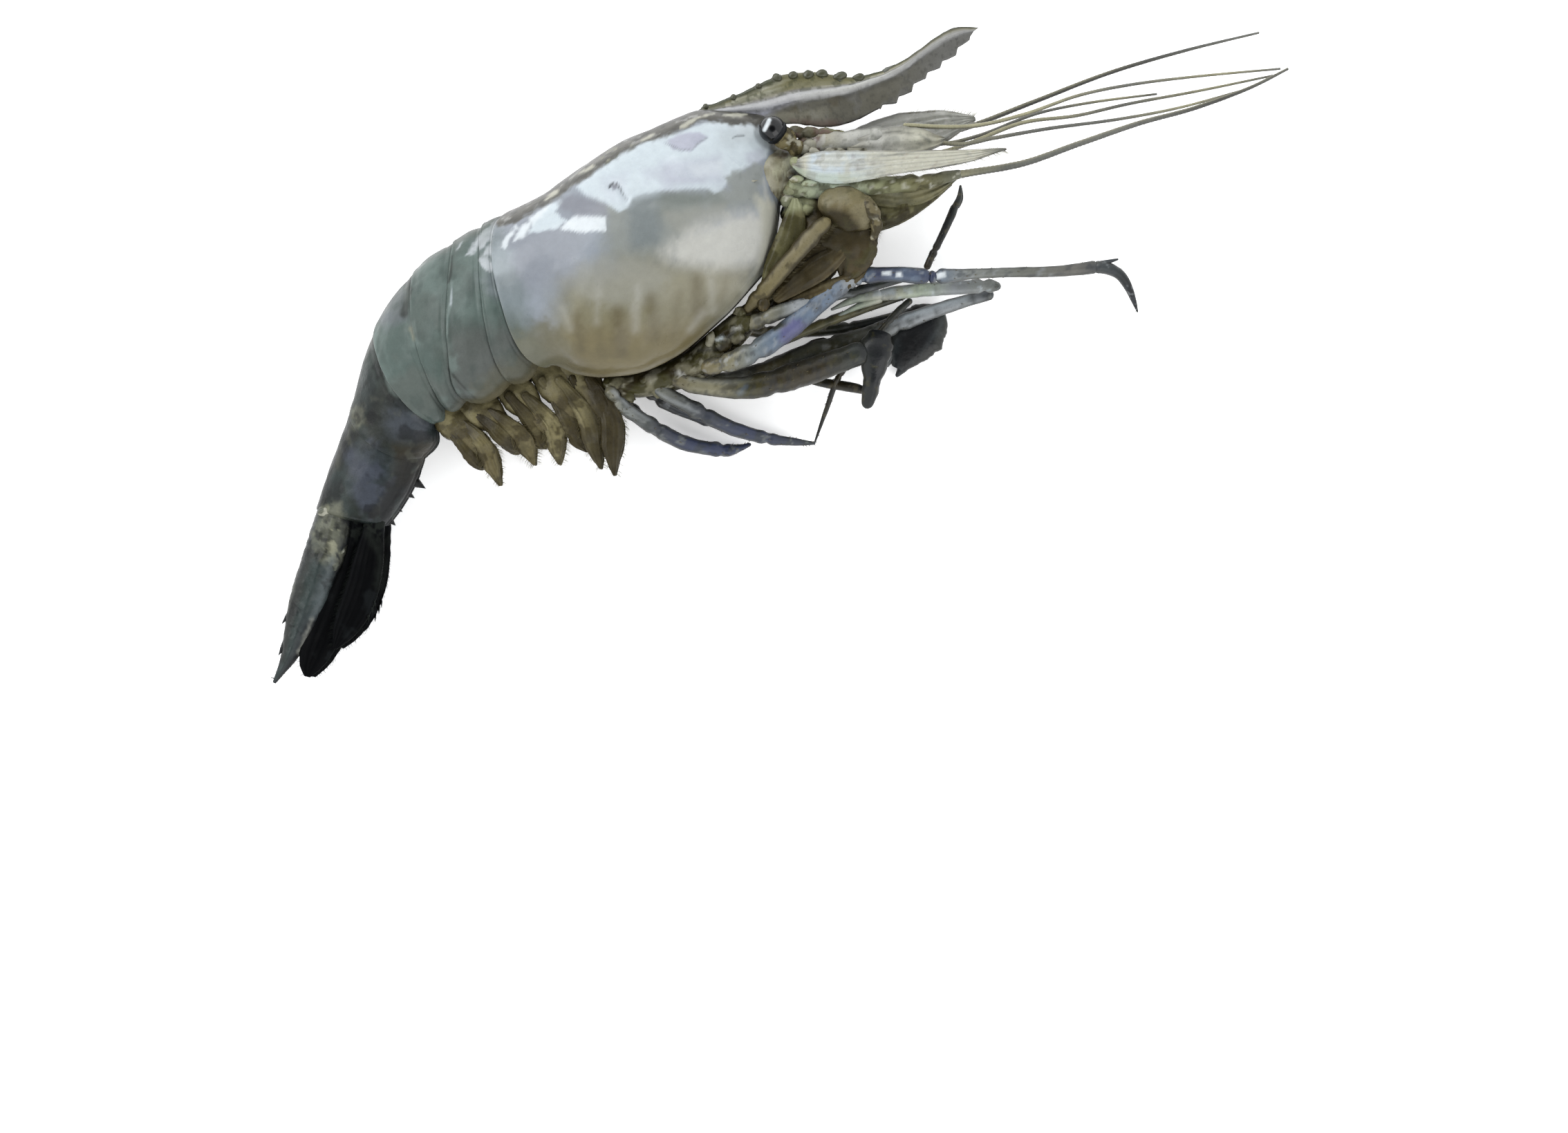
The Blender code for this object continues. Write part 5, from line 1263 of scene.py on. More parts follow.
def feelers():
    r_base = limb([(1136, 268, 18.4, 1.6), (1162, 274, 18.8, 2.1), (1190, 272, 19.0, 2.0), (1226, 271, 19.2, 2.1), (1262, 270, 19.2, 1.9),
                   (1330, 266, 19.2, 1.6), (1368, 258, 19.0, 1.2), (1392, 253, 18.7, 0.8)], joints=(1, 3, 5), per_span=14, sides=32, rough=0.10, seed=5, kind=2)
    r_flag = limb([(1376, 256, 19.0, 1.0), (1400, 252, 18.6, 0.78), (1480, 237, 17.0, 0.70), (1560, 208, 14.4, 0.62), (1650, 176, 11.0, 0.54),
                   (1730, 153, 8.0, 0.46), (1810, 123, 5.8, 0.38), (1870, 93, 5.0, 0.28)], per_span=70, sides=10, rough=0.03, beads=0.10, bead_mm=0.9)
    flap = plate([(1222, 266, 17.4, 1.4, 0.9), (1262, 276, 17.2, 2.8, 0.9), (1310, 280, 17.0, 3.0, 0.8), (1350, 271, 16.8, 2.0, 0.7),
                  (1382, 258, 16.6, 0.5, 0.4)], per_span=18, sides=64, ribs=4, rib_mm=0.16, cup=0.10, wave=0.6, seed=24, kind=3)
    basal = [lump(1152, 262, 21.9, 1.5, 0.8, 0.8, 10, seed=67, rough=0.25, kind=4, rows=15, cols=20), lump(1172, 268, 21.9, 1.7, 0.8, 0.8, 6, seed=68, rough=0.25, kind=4, rows=15, cols=20),
             lump(1150, 240, 22.0, 1.0, 1.3, 0.9, 30, seed=69, rough=0.25, kind=4, rows=15, cols=20), lump(1128, 262, 19.0, 1.5, 1.3, 1.0, seed=61, rough=0.2, kind=4), lump(1144, 276, 19.4, 1.7, 1.2, 1.1, 30, seed=62, rough=0.2, kind=4),
             lump(1190, 268, 20.0, 5.2, 1.3, 0.9, 2, seed=64, rough=0.08, kind=4, rows=36, cols=30), lump(1140, 292, 18.6, 1.6, 1.4, 1.1, -20, seed=66, rough=0.2, kind=4)]

    def paint_r(p):
        p.ramp([(0, "straw"), (0.15, "smoke_dark"), (0.5, "flag_grey"), (0.8, "flag_dark"), (1, "flag_grey")], only=(p.kind == 0) * 1.0)
        p.lay("flag_dark", (p.kind == 0) * 0.8 * smooth((p.across - 0.3) / 0.4))
        p.lay("straw", (p.kind == 0) * 0.5 * smooth((-p.across - 0.2) / 0.5))
        base = (p.kind == 2) * 1.0
        p.ramp([(0, "pea"), (0.3, "mint"), (0.5, "pea"), (0.75, "olive"), (1, "cream_dim")], only=base)
        p.mottle("olive_dark", 1.6, 0.15, 0.7, seed=25, only=base)
        p.mottle("bone", 1.4, 0.3, 0.6, seed=26, only=base)
        flap_on = (p.kind == 3) * 1.0
        p.ramp([(1222, "olive"), (1270, "olive_yellow"), (1320, "cream_dim"), (1390, "cream_dim")], p.x, only=flap_on * smooth((300 - p.y) / 14) + 0)
        p.lay("olive", flap_on * smooth((p.y - 286) / 14))
        p.mottle("olive", 2.6, 0.1, 0.6, seed=27, only=flap_on)
        p.patch("olive_yellow", [(1318, 268), (1346, 268), (1346, 290), (1320, 292)], soft=6, wobble=4, only=flap_on)
        p.mottle("olive_dark", 1.8, 0.3, 0.6, seed=28, only=flap_on)
        p.stroke("olive_dark", [(1240, 290), (1300, 296), (1350, 282)], width=6, soft=5, wobble=4, strength=0.6, only=flap_on)
        p.patch("olive_yellow", [(1306, 266), (1356, 262), (1366, 276), (1340, 288), (1306, 288)], soft=7, wobble=5, strength=0.9, only=flap_on)
        p.stroke("bone", [(1225, 262), (1300, 258), (1372, 252)], width=3, soft=3, strength=0.7, only=flap_on)
        p.stroke("olive_dark", [(1250, 262), (1290, 260), (1330, 262)], width=4, soft=3, strength=0.7, only=flap_on)
        lumps = (p.kind == 4) * 1.0
        p.ramp([(1120, "cream_dim"), (1150, "pea"), (1180, "mint"), (1240, "mint")], p.x, only=lumps)
        p.mottle("olive", 1.2, 0.1, 0.7, seed=29, only=lumps)
        p.mottle("bone", 1.0, 0.3, 0.8, seed=30, only=lumps)
    for c in (r_flag,):
        c.slot = 1
    make("feeler_right", [r_base, r_flag, flap] + basal, [HEADM, WHISKM], ["antenna_right"], "flag_grey", paint_r, seed=41)

    l_base = limb([(1146, 246, 8.3, 1.5), (1172, 240, 7.9, 1.8), (1200, 232, 7.4, 1.7), (1290, 207, 7.0, 1.6), (1350, 190, 6.8, 1.1)],
                  joints=(1, 2, 3), per_span=14, sides=28, rough=0.08, seed=6, kind=2)
    l_flag = limb([(1340, 193, 6.8, 0.8), (1400, 180, 6.4, 0.55), (1500, 141, 4.8, 0.50), (1610, 98, 3.0, 0.44), (1720, 65, 1.6, 0.36),
                   (1830, 38, 0.8, 0.24)], per_span=70, sides=10, rough=0.03, beads=0.10, bead_mm=0.9)
    l_flag.slot = 1

    def paint_l(p):
        p.ramp([(0, "flag_grey"), (0.3, "flag_dark"), (0.6, "flag_dark"), (1, "flag_grey")], only=(p.kind == 0) * 1.0)
        p.lay("straw", (p.kind == 0) * 0.45 * smooth((-p.across) / 0.5) * smooth((0.7 - p.along) / 0.2))
        p.ramp([(0, "olive"), (0.5, "smoke_dark"), (1, "flag_dark")], only=(p.kind == 2) * 1.0)
        p.mottle("mud", 1.4, 0.1, 0.7, seed=34, only=(p.kind == 2) * 1.0)
    make("feeler_left", [l_base, l_flag], [HEADM, WHISKM], ["antenna_left"], "flag_grey", paint_l, seed=42)

    for side, pts in (("right", [(1152, 207, 15.6, 1.4), (1172, 208, 16.0, 1.9), (1190, 206, 16.2, 2.0), (1222, 204, 16.4, 1.9),
                                 (1250, 200, 16.4, 1.9), (1280, 195, 16.4, 1.6), (1306, 190, 16.4, 1.0)]),
                      ("left", [(1152, 213, 12.2, 1.2), (1172, 213, 12.3, 1.4), (1190, 210, 12.5, 1.4), (1222, 208, 12.5, 1.35),
                                (1250, 205, 12.5, 1.3), (1280, 204, 12.4, 1.1), (1300, 203, 12.4, 0.85)])):
        ch = limb(pts, joints=(1, 3, 5), per_span=14, sides=28, rough=0.05, seed=8, pinch=0.10, swell=0.12, flat=0.8)
        knobs = []
        sg = 1 if side == "right" else -1
        if side == "right":
            knobs = [lump(1172, 212, 17.2, 1.7, 1.4, 1.0, 20, seed=71, rough=0.12, kind=2), lump(1206, 218, 16.8, 2.4, 1.2, 0.9, 0, seed=72, rough=0.15, kind=2),
                     lump(1244, 216, 16.6, 2.8, 1.4, 0.9, 6, seed=73, rough=0.15, kind=2), lump(1282, 212, 16.2, 2.6, 1.2, 0.8, 8, seed=74, rough=0.15, kind=2)]
            knobs.append(plate([(1226, 214, 16.6, 0.9, 0.6), (1250, 212, 17.0, 2.0, 0.7), (1286, 207, 17.1, 3.1, 0.7), (1324, 204, 16.8, 2.7, 0.6),
                                (1352, 204, 16.4, 1.4, 0.5), (1366, 201, 16.2, 0.3, 0.3)], per_span=14, sides=44, ribs=2, rib_mm=0.22, keel=0.2, wave=0.7,
                               seed=18, kind=3, edge_noise=0.05))

        def paint_a(p):
            p.ramp([(0, "rose"), (0.12, "umber"), (0.25, "beige_warm"), (0.5, "beige"), (0.8, "smoke"), (1, "smoke")])
            p.mottle("rose", 1.4, 0.1, 0.8, seed=39, only=smooth((0.3 - p.along) / 0.1))
            p.mottle("smoke_dark", 1.3, 0.35, 0.5, seed=35)
            p.mottle("beige", 1.4, 0.1, 0.7, seed=36)
            p.lay("beige_warm", (p.kind == 2) * 0.8)
            p.mottle("mud", 1.1, 0.3, 0.8, seed=37, only=(p.kind == 2) * 1.0)
            leaf = (p.kind == 3) * 1.0
            p.ramp([(0, "beige_warm"), (0.3, "beige"), (0.6, "bone"), (1, "beige_warm")], only=leaf)
            p.mottle("smoke", 2.4, 0.15, 0.6, seed=45, only=leaf)
            p.stroke("smoke_dark", [(1262, 214), (1254, 204), (1270, 194), (1300, 192), (1330, 196), (1344, 206)], width=2.0, soft=2, wobble=1.6, strength=0.7, only=leaf)
            p.stroke("smoke_dark", [(1276, 218), (1300, 220), (1330, 214)], width=2.0, soft=2, wobble=1.6, strength=0.6, only=leaf)
            p.lay("rim_dark", 0.5 * smooth((np.abs(p.across) - 0.7) / 0.25))
        hairs = [fringe(ch, 1, 0.3, 0.98, 16, 0.9, seed=15, lean=1.6), fringe(ch, -1, 0.3, 0.98, 16, 0.9, seed=16, lean=1.6)]
        make("antennule_stalk_" + side, [ch] + knobs + hairs, HEADM, ["antennule_" + side], "smoke", paint_a, seed=43)

    lashes = ([(1306, 182, 16.6, 0.50), (1400, 183, 15.0, 0.45), (1480, 165, 13.0, 0.40), (1560, 136, 10.4, 0.36), (1640, 118, 7.6, 0.34),
               (1740, 104, 4.6, 0.30), (1860, 92, 2.6, 0.24)],
              [(1306, 192, 16.0, 0.50), (1380, 208, 14.0, 0.45), (1440, 198, 12.4, 0.42), (1520, 183, 9.8, 0.38), (1620, 168, 6.4, 0.34),
               (1710, 150, 4.2, 0.30), (1800, 125, 3.2, 0.24)],
              [(1306, 206, 12.4, 0.50), (1350, 219, 11.6, 0.45), (1400, 206, 10.2, 0.45), (1480, 174, 7.8, 0.42), (1560, 162, 5.0, 0.38),
               (1640, 143, 3.0, 0.34), (1740, 124, 1.8, 0.30), (1850, 101, 1.2, 0.24)],
              [(1306, 200, 11.6, 0.42), (1360, 206, 10.6, 0.40), (1420, 192, 8.6, 0.38), (1500, 160, 5.6, 0.34), (1580, 142, 3.0, 0.30),
               (1680, 128, 1.2, 0.24)])
    for i, pts in enumerate(lashes, 1):
        ch = limb(pts, per_span=60, sides=8, rough=0.04, beads=0.12, bead_mm=0.7, seed=i)

        def paint_f(p):
            p.ramp([(0, "straw"), (0.35, "straw" if i % 2 else "flag_grey"), (0.6, "flag_grey"), (0.85, "straw"), (1, "flag_grey")])
            p.lay("flag_dark", 0.7 * smooth((p.across - 0.1) / 0.6))
        make("antennule_lash_%d_ringed" % i, [ch], WHISKM, ["antennule_lash_%d" % i], "straw", paint_f, seed=50 + i)


# ---------------------------------------------------------- mouth and jaw feet
def mouth():
    block = plate([(1136, 296, 13.8, 2.6, 4.4), (1156, 306, 13.8, 4.2, 5.6), (1176, 322, 13.8, 5.2, 6.4), (1178, 352, 13.8, 6.2, 6.8),
                   (1160, 392, 13.8, 5.8, 6.4), (1132, 424, 13.8, 3.6, 5.0), (1114, 444, 13.8, 1.4, 3.2)], per_span=13, sides=52, lens=1.0, kind=0)
    n = noise(block.v, 3.0, 3, 55)
    block.v += unit(block.v - place(1155, 360, 13.8)) * (n * 0.7 * MM)[:, None]
    chunks = [block]
    for s in (1, -1):
        z = lambda h: 13.8 + s * h
        # overlapping leaf-like mouth parts in front of the gills
        chunks.append(plate([(1106, 420, z(6.0), 1.0, 0.5), (1124, 388, z(7.0), 2.6, 0.6), (1142, 350, z(7.4), 2.9, 0.6), (1150, 312, z(6.8), 2.0, 0.5),
                             (1150, 290, z(6.2), 0.6, 0.4)], per_span=12, sides=34, ribs=3, wave=0.5, seed=56, kind=2))
        chunks.append(plate([(1120, 436, z(5.4), 1.0, 0.6), (1150, 412, z(6.0), 2.2, 0.7), (1186, 388, z(6.2), 2.6, 0.7), (1214, 366, z(5.8), 1.8, 0.5),
                             (1232, 346, z(5.4), 0.5, 0.3)], per_span=12, sides=34, ribs=4, wave=0.6, seed=57, kind=3))
        chunks.append(plate([(1128, 448, z(4.0), 0.8, 0.5), (1160, 436, z(4.6), 1.9, 0.6), (1200, 420, z(4.6), 2.0, 0.6), (1240, 400, z(4.0), 1.0, 0.4),
                             (1254, 386, z(3.6), 0.3, 0.3)], per_span=12, sides=34, ribs=3, wave=0.5, seed=58, kind=3))
        chunks.append(plate([(1214, 300, z(5.4), 3.6, 0.8), (1222, 322, z(6.6), 5.4, 1.0), (1228, 346, z(6.6), 5.8, 1.0), (1230, 370, z(5.2), 5.0, 0.9), (1226, 390, z(3.8), 3.2, 0.7),
                             (1220, 402, z(3.0), 0.9, 0.4)], per_span=12, sides=44, ribs=3, rib_mm=0.2, wave=0.9, seed=59, kind=4, edge_noise=0.07))
        for i, (x, y, h, a, b) in enumerate(((1142, 322, 6.4, 1.6, 1.3), (1166, 306, 6.4, 1.5, 1.2), (1176, 420, 3.6, 1.4, 1.0), (1104, 440, 6.0, 1.6, 1.2))):
            chunks.append(lump(x, y, z(h), a, b, 1.0, 30 * i, seed=60 + i, rough=0.25, kind=2 if i < 2 else 3, rows=15, cols=20))

    def paint(p):
        p.lay("cocoa", 1.0 + 0 * p.x)
        p.mottle("mud", 2.4, -0.1, 0.8, seed=65)
        leaf = (p.kind == 2) * 1.0
        p.lay("olive_dark", leaf * 0.9)
        p.mottle("olive", 2.2, 0.0, 0.7, seed=66, only=leaf)
        p.mottle("mud", 1.8, 0.2, 0.8, seed=67, only=leaf)
        low = (p.kind == 3) * 1.0
        p.lay("cocoa", low)
        p.lay("umber", low * 0.7 * smooth(np.cos(4 * math.pi * p.across)))
        p.mottle("mud", 1.8, 0.1, 0.8, seed=68, only=low)
        p.mottle("tan", 2.4, 0.35, 0.35, seed=69, only=low)
        lobe = (p.kind == 4) * 1.0
        p.ramp([(0, "mud"), (0.35, "mud"), (0.7, "cocoa"), (1, "cocoa")], only=lobe)
        p.mottle("olive_dark", 3.0, 0.1, 0.7, seed=72, only=lobe)
        p.lay("umber", lobe * 0.5 * smooth((p.across - 0.3) / 0.4))
        p.mottle("mud", 1.5, 0.15, 0.6, seed=70, only=lobe)
        p.patch("olive_dark", [(1124, 350), (1140, 318), (1172, 320), (1150, 360), (1126, 392)], soft=6, wobble=5, strength=0.7)
        p.patch("mud", [(1172, 352), (1204, 340), (1214, 372), (1168, 420), (1120, 440)], soft=8, wobble=5, strength=0.8)
        p.patch("pea", [(1118, 270), (1176, 284), (1168, 306), (1130, 312)], soft=8, wobble=5, strength=0.85)
        p.lay("straw", (p.kind == 1) * 0.7)
    make("mouth_leaves", chunks, HEADM, ["mouthparts"], "cocoa", paint, seed=51)

    for side, k in (("right", 1.0), ("left", 0.9)):
        zf = (lambda h: h) if side == "right" else (lambda h: 27.6 - h)
        jaw = limb([(1078, 452, zf(17.8), 0.8 * k), (1092, 436, zf(19.2), 1.3 * k), (1108, 420, zf(20.6), 1.6 * k), (1146, 376, zf(22.8), 1.7 * k),
                    (1180, 338, zf(23.2), 1.6 * k), (1200, 320, zf(22.6), 1.2 * k)],
                   joints=(1.6, 4), per_span=18, sides=36, flat=0.55, rough=0.07, ridge=0.06, seed=12, kind=0, pinch=0.12)
        dome = lump(1226, 304, zf(20.8), 6.2 * k, 4.5 * k, 2.6 * k, turn=-20, seed=13, rough=0.13, kind=2, rows=40, cols=52, grain=4.0)
        tip = limb([(1246, 292, zf(22.0), 0.8 * k), (1258, 304, zf(22.6), 1.2 * k), (1266, 320, zf(22.4), 1.2 * k), (1266, 336, zf(21.8), 1.0 * k),
                    (1260, 350, zf(21.4), 0.5 * k)], joints=(2,), per_span=14, sides=30, flat=0.7, rough=0.10, seed=14, kind=3)
        low = plate([(1216, 296, zf(16.5), 1.6, 0.6), (1250, 306, zf(16.2), 4.0, 0.9), (1290, 301, zf(16.0), 3.5, 0.8), (1334, 284, zf(15.8), 2.3, 0.7),
                     (1376, 264, zf(15.6), 0.5, 0.4)], per_span=18, sides=60, ribs=4, rib_mm=0.14, wave=0.7, cup=0.08, seed=17, kind=4)
        hairs = [fringe(jaw, 1, 0.25, 0.95, 90, 1.7, radius=0.035, seed=9, lean=0.8), fringe(tip, -1, 0.1, 0.98, 30, 1.1, radius=0.03, seed=10, lean=0.6),
                 fringe(tip, 1, 0.1, 0.98, 20, 1.0, radius=0.03, seed=11, lean=0.6)]

        def paint_j(p):
            p.lay("tan", 1.0 + 0 * p.x)
            jaw_on = (p.kind == 0) * 1.0
            p.ramp([(0, "umber"), (0.25, "khaki"), (0.8, "tan"), (1, "khaki")], only=jaw_on)
            p.lay("mud", jaw_on * 0.85 * smooth((np.abs(p.across) - 0.45) / 0.4))
            p.mottle("mud", 1.6, 0.25, 0.55, seed=73, only=jaw_on)
            dome_on = (p.kind == 2) * 1.0
            p.mottle("khaki", 4.0, 0.0, 0.6, seed=74, only=dome_on)
            # painted shade: the lower part of the dome darkens to umber and mud brown
            p.patch("umber", [(1166, 296), (1200, 300), (1226, 303), (1242, 318), (1250, 345), (1254, 370), (1166, 370)], soft=5, wobble=3, only=dome_on)
            p.patch("mud", [(1166, 308), (1206, 306), (1228, 311), (1240, 328), (1244, 370), (1166, 370)], soft=5, wobble=3, strength=0.95, only=dome_on)
            p.stroke("beige_warm", [(1196, 300), (1206, 292), (1222, 288)], width=5, soft=5, wobble=3, strength=0.4, only=dome_on)
            p.lay("olive", 0.35 * dome_on * smooth((300 - p.y) / 16))
            p.mottle("olive_dark", 1.5, 0.25, 0.5, seed=79, only=dome_on)
            tip_on = (p.kind == 3) * 1.0
            p.lay("umber", 0.7 * tip_on)
            p.mottle("beige_warm", 1.3, 0.3, 0.6, seed=75, only=tip_on)
            p.mottle("mud", 1.2, 0.0, 0.8, seed=76, only=tip_on)
            low_on = (p.kind == 4) * 1.0
            p.lay("olive_dark", low_on)
            p.mottle("olive", 2.4, 0.1, 0.8, seed=77, only=low_on)
            p.mottle("mud", 1.8, 0.1, 0.7, seed=78, only=low_on)
            p.lay("mud", (p.kind == 1) * 0.6)
        make("jaw_foot_" + side, [jaw, dome, tip, low] + hairs, HEADM, ["maxilliped_" + side], "tan", paint_j, seed=52)


# --------------------------------------------------------------- walking legs
def finger(points, **kw):
    kw.setdefault("per_span", 14)
    kw.setdefault("sides", 16)
    kw.setdefault("rough", 0.05)
    return limb(points, **kw)


def leg_spines(ch, count, length, seed, lo=0.1, hi=0.95, radius=0.09):
    rng = np.random.RandomState(seed)
    k = (rng.uniform(lo, hi, count) * (len(ch.path) - 1)).astype(int)
    th = rng.uniform(0, 2 * math.pi, count)
    way = unit(ch.side[k] * np.cos(th)[:, None] + ch.up[k] * np.sin(th)[:, None])
    base = ch.path[k] + way * (ch.r[k] * 0.85)[:, None]
    tip = base + unit(way + ch.dirn[k] * 1.1) * length * MM * rng.uniform(0.6, 1.1, count)[:, None]
    return spikes(base, tip, radius * MM, kind=1, sides=4)


def leg(name, nodes, chunks, stops, marks=(), seed=1, edge_shade=0.7, mottles=("leg_dark", "leg_pale")):
    def paint(p):
        p.ramp(stops, p.x if stops[0][0] > 2 else p.along)
        p.mottle(mottles[0], 1.5, 0.15, 0.55, seed=seed + 2)
        p.mottle(mottles[1], 1.1, 0.40, 0.45, seed=seed + 3)
        for fn, tint, geo, kw in marks:
            getattr(p, fn)(tint, geo, **kw)
        # painted shade: each limb darkens towards both flanks, as seen from above
        p.lay("rim_dark", edge_shade * smooth((np.abs(p.across) - 0.55) / 0.4) * (p.kind != 1))
        p.lay("umber", (p.kind == 1) * 0.8)
    return make(name, chunks, LEGM, nodes, stops[0][1], paint, seed=seed)


def legs():
    c = limb([(1078, 474, 16.6, 1.2), (1104, 462, 18.0, 1.5), (1134, 450, 18.6, 1.5), (1182, 434, 17.2, 1.2), (1240, 420, 13.0, 0.95), (1334, 393, 10.0, 0.75)],
             joints=(1, 4), sides=22, seed=3)
    leg("leg_1_right", ["pereiopod_1_right"], [c, leg_spines(c, 26, 0.9, 2)], [(1078, "taupe"), (1100, "taupe"), (1130, "smoke_dark"), (1150, "leg_pale"), (1176, "leg_pale"), (1200, "leg_grey"), (1225, "char"), (1334, "char")], seed=61, edge_shade=0.5)
    c = limb([(1340, 388, 9.7, 0.75), (1350, 366, 9.2, 0.72), (1362, 342, 8.8, 0.75), (1376, 312, 8.2, 0.85), (1384, 292, 7.8, 0.80)], joints=(1.3,), sides=18, seed=4)
    f1 = finger([(1382, 298, 7.9, 0.75), (1389, 282, 7.6, 0.55), (1391, 264, 7.2, 0.22)])
    f2 = finger([(1384, 298, 7.5, 0.6), (1392, 284, 7.2, 0.42), (1392, 267, 7.0, 0.18)])
    leg("leg_1_right_hand", ["pereiopod_1_right_hand"], [c, f1, f2, leg_spines(c, 14, 0.7, 5)], [(1340, "mud"), (1365, "ink"), (1392, "char")],
        seed=62, mottles=("ink", "umber"))

    c = limb([(1014, 533, 18.6, 1.3), (1036, 530, 19.0, 1.7), (1056, 525, 19.2, 1.9), (1092, 509, 19.3, 2.1), (1140, 478, 18.8, 2.15), (1185, 438, 17.8, 2.0),
              (1218, 414, 17.2, 1.75), (1238, 406, 16.8, 1.4)], joints=(1.4, 3.0, 6.3), sides=32, flat=0.85, seed=5, swell=0.10)
    leg("leg_2_right", ["pereiopod_2_right"], [c, leg_spines(c, 40, 0.7, 6)],
        [(1014, "khaki"), (1060, "taupe"), (1092, "steel_dark"), (1120, "leg_blue"), (1150, "leg_blue"), (1200, "leg_blue"), (1240, "leg_pale")],
        marks=(("patch", "leg_violet", [(1126, 478), (1148, 462), (1168, 470), (1160, 492), (1140, 504), (1128, 496)], dict(soft=5, wobble=4)),
               ("patch", "char", [(1112, 472), (1130, 466), (1138, 472), (1120, 482)], dict(soft=2.5, wobble=1)),
               ("patch", "leg_pale", [(1214, 402), (1238, 396), (1244, 412), (1220, 416)], dict(soft=4, wobble=2)),
               ("stroke", "leg_pale", [(1160, 456), (1200, 424)], dict(width=3, soft=3, strength=0.5))), seed=63, edge_shade=0.5)
    c = limb([(1242, 404, 16.6, 1.5), (1258, 399, 16.3, 1.6), (1295, 397, 15.6, 1.55), (1330, 399, 14.6, 1.7), (1346, 400, 14.1, 1.4)], joints=(0.5,), sides=30, flat=0.85, seed=6)
    # painted glints: the two small white patches on the wrist
    leg("leg_2_right_wrist", ["pereiopod_2_right_carpus"], [c, leg_spines(c, 22, 0.7, 7), lump(1349, 400, 14.0, 0.9, 1.35, 1.1, seed=3, rough=0.1), lump(1241, 404, 16.6, 1.0, 1.3, 1.1, seed=4, rough=0.1)],
        [(1236, "leg_pale"), (1250, "leg_blue"), (1270, "leg_navy"), (1310, "leg_blue"), (1350, "leg_navy")],
        marks=(("patch", "ice_white", [(1275, 393), (1288, 393), (1288, 399), (1275, 399)], dict(soft=2, wobble=1)),
               ("patch", "ice_white", [(1296, 394), (1304, 394), (1304, 401), (1296, 401)], dict(soft=2, wobble=1))), seed=64, edge_shade=0.75, mottles=("leg_navy", "leg_pale"))
    c = limb([(1350, 400, 13.9, 1.25), (1362, 399, 13.5, 1.45), (1400, 396, 12.4, 1.15), (1450, 393, 11.0, 1.05), (1530, 390, 8.0, 1.15), (1580, 384, 6.0, 1.35), (1592, 383, 5.6, 1.2)],
             joints=(0.6,), sides=26, flat=0.85, seed=7)
    claw = finger([(1584, 383, 5.8, 1.25), (1604, 384, 5.0, 1.3), (1622, 392, 4.0, 1.15), (1635, 408, 3.2, 0.95), (1644, 428, 2.6, 0.62), (1651, 448, 2.2, 0.16)], sides=22)
    thumb = finger([(1586, 382, 5.8, 0.8), (1600, 377, 5.4, 0.6), (1622, 371, 4.8, 0.2)])
    # painted glint: the small white patch at the wrist end of the hand
    leg("leg_2_right_hand", ["pereiopod_2_right_hand"], [c, claw, thumb, leg_spines(c, 34, 0.7, 8), leg_spines(claw, 14, 0.5, 9)],
        [(1350, "leg_blue"), (1400, "leg_grey"), (1480, "smoke_dark"), (1560, "rim_grey"), (1600, "gunmetal"), (1640, "ink")],
        marks=(("patch", "ice_white", [(1352, 396), (1368, 392), (1368, 400), (1354, 404)], dict(soft=2, wobble=1)),), seed=65, edge_shade=0.65)

    c = limb([(970, 544, 18.0, 1.3), (990, 553, 17.7, 1.7), (1014, 559, 17.4, 1.8), (1075, 561, 15.8, 2.3), (1120, 552, 14.4, 2.6), (1160, 540, 12.8, 2.7), (1206, 524, 11.6, 2.6), (1256, 505, 10.6, 2.3)],
             joints=(1, 4.0), sides=30, flat=0.75, seed=8, swell=0.05, pinch=0.10)
    lobe = plate([(1274, 478, 9.2, 2.0, 1.1), (1270, 494, 10.0, 3.2, 1.5), (1267, 510, 10.1, 3.2, 1.6), (1265, 528, 9.7, 2.7, 1.6), (1262, 548, 9.2, 1.9, 1.5),
                  (1259, 566, 8.4, 1.7, 1.3), (1255, 584, 7.6, 1.1, 0.9), (1254, 589, 7.4, 0.5, 0.6)], per_span=16, sides=48, lens=0.8, edge_noise=0.07, wave=0.4, seed=9)
    # painted highlight: the grey stroke along the upper edge of this leg near its base
    leg("leg_3_right", ["pereiopod_3_right"], [c, lobe, leg_spines(c, 40, 0.8, 10)],
        [(970, "umber"), (1010, "taupe"), (1045, "taupe"), (1080, "olive_dark"), (1120, "mud"), (1190, "mud"), (1236, "char"), (1266, "ink")],
        marks=(("stroke", "leg_grey", [(1000, 548), (1050, 552), (1084, 548)], dict(width=6, soft=5, strength=0.6)),
               ("stroke", "leg_blue", [(1078, 560), (1070, 570)], dict(width=6, soft=5, strength=0.5)),
               ("stroke", "gunmetal", [(1110, 542), (1170, 524), (1240, 498)], dict(width=6, soft=6, strength=0.35, wobble=3))), seed=66, edge_shade=0.6, mottles=("ink", "olive_dark"))

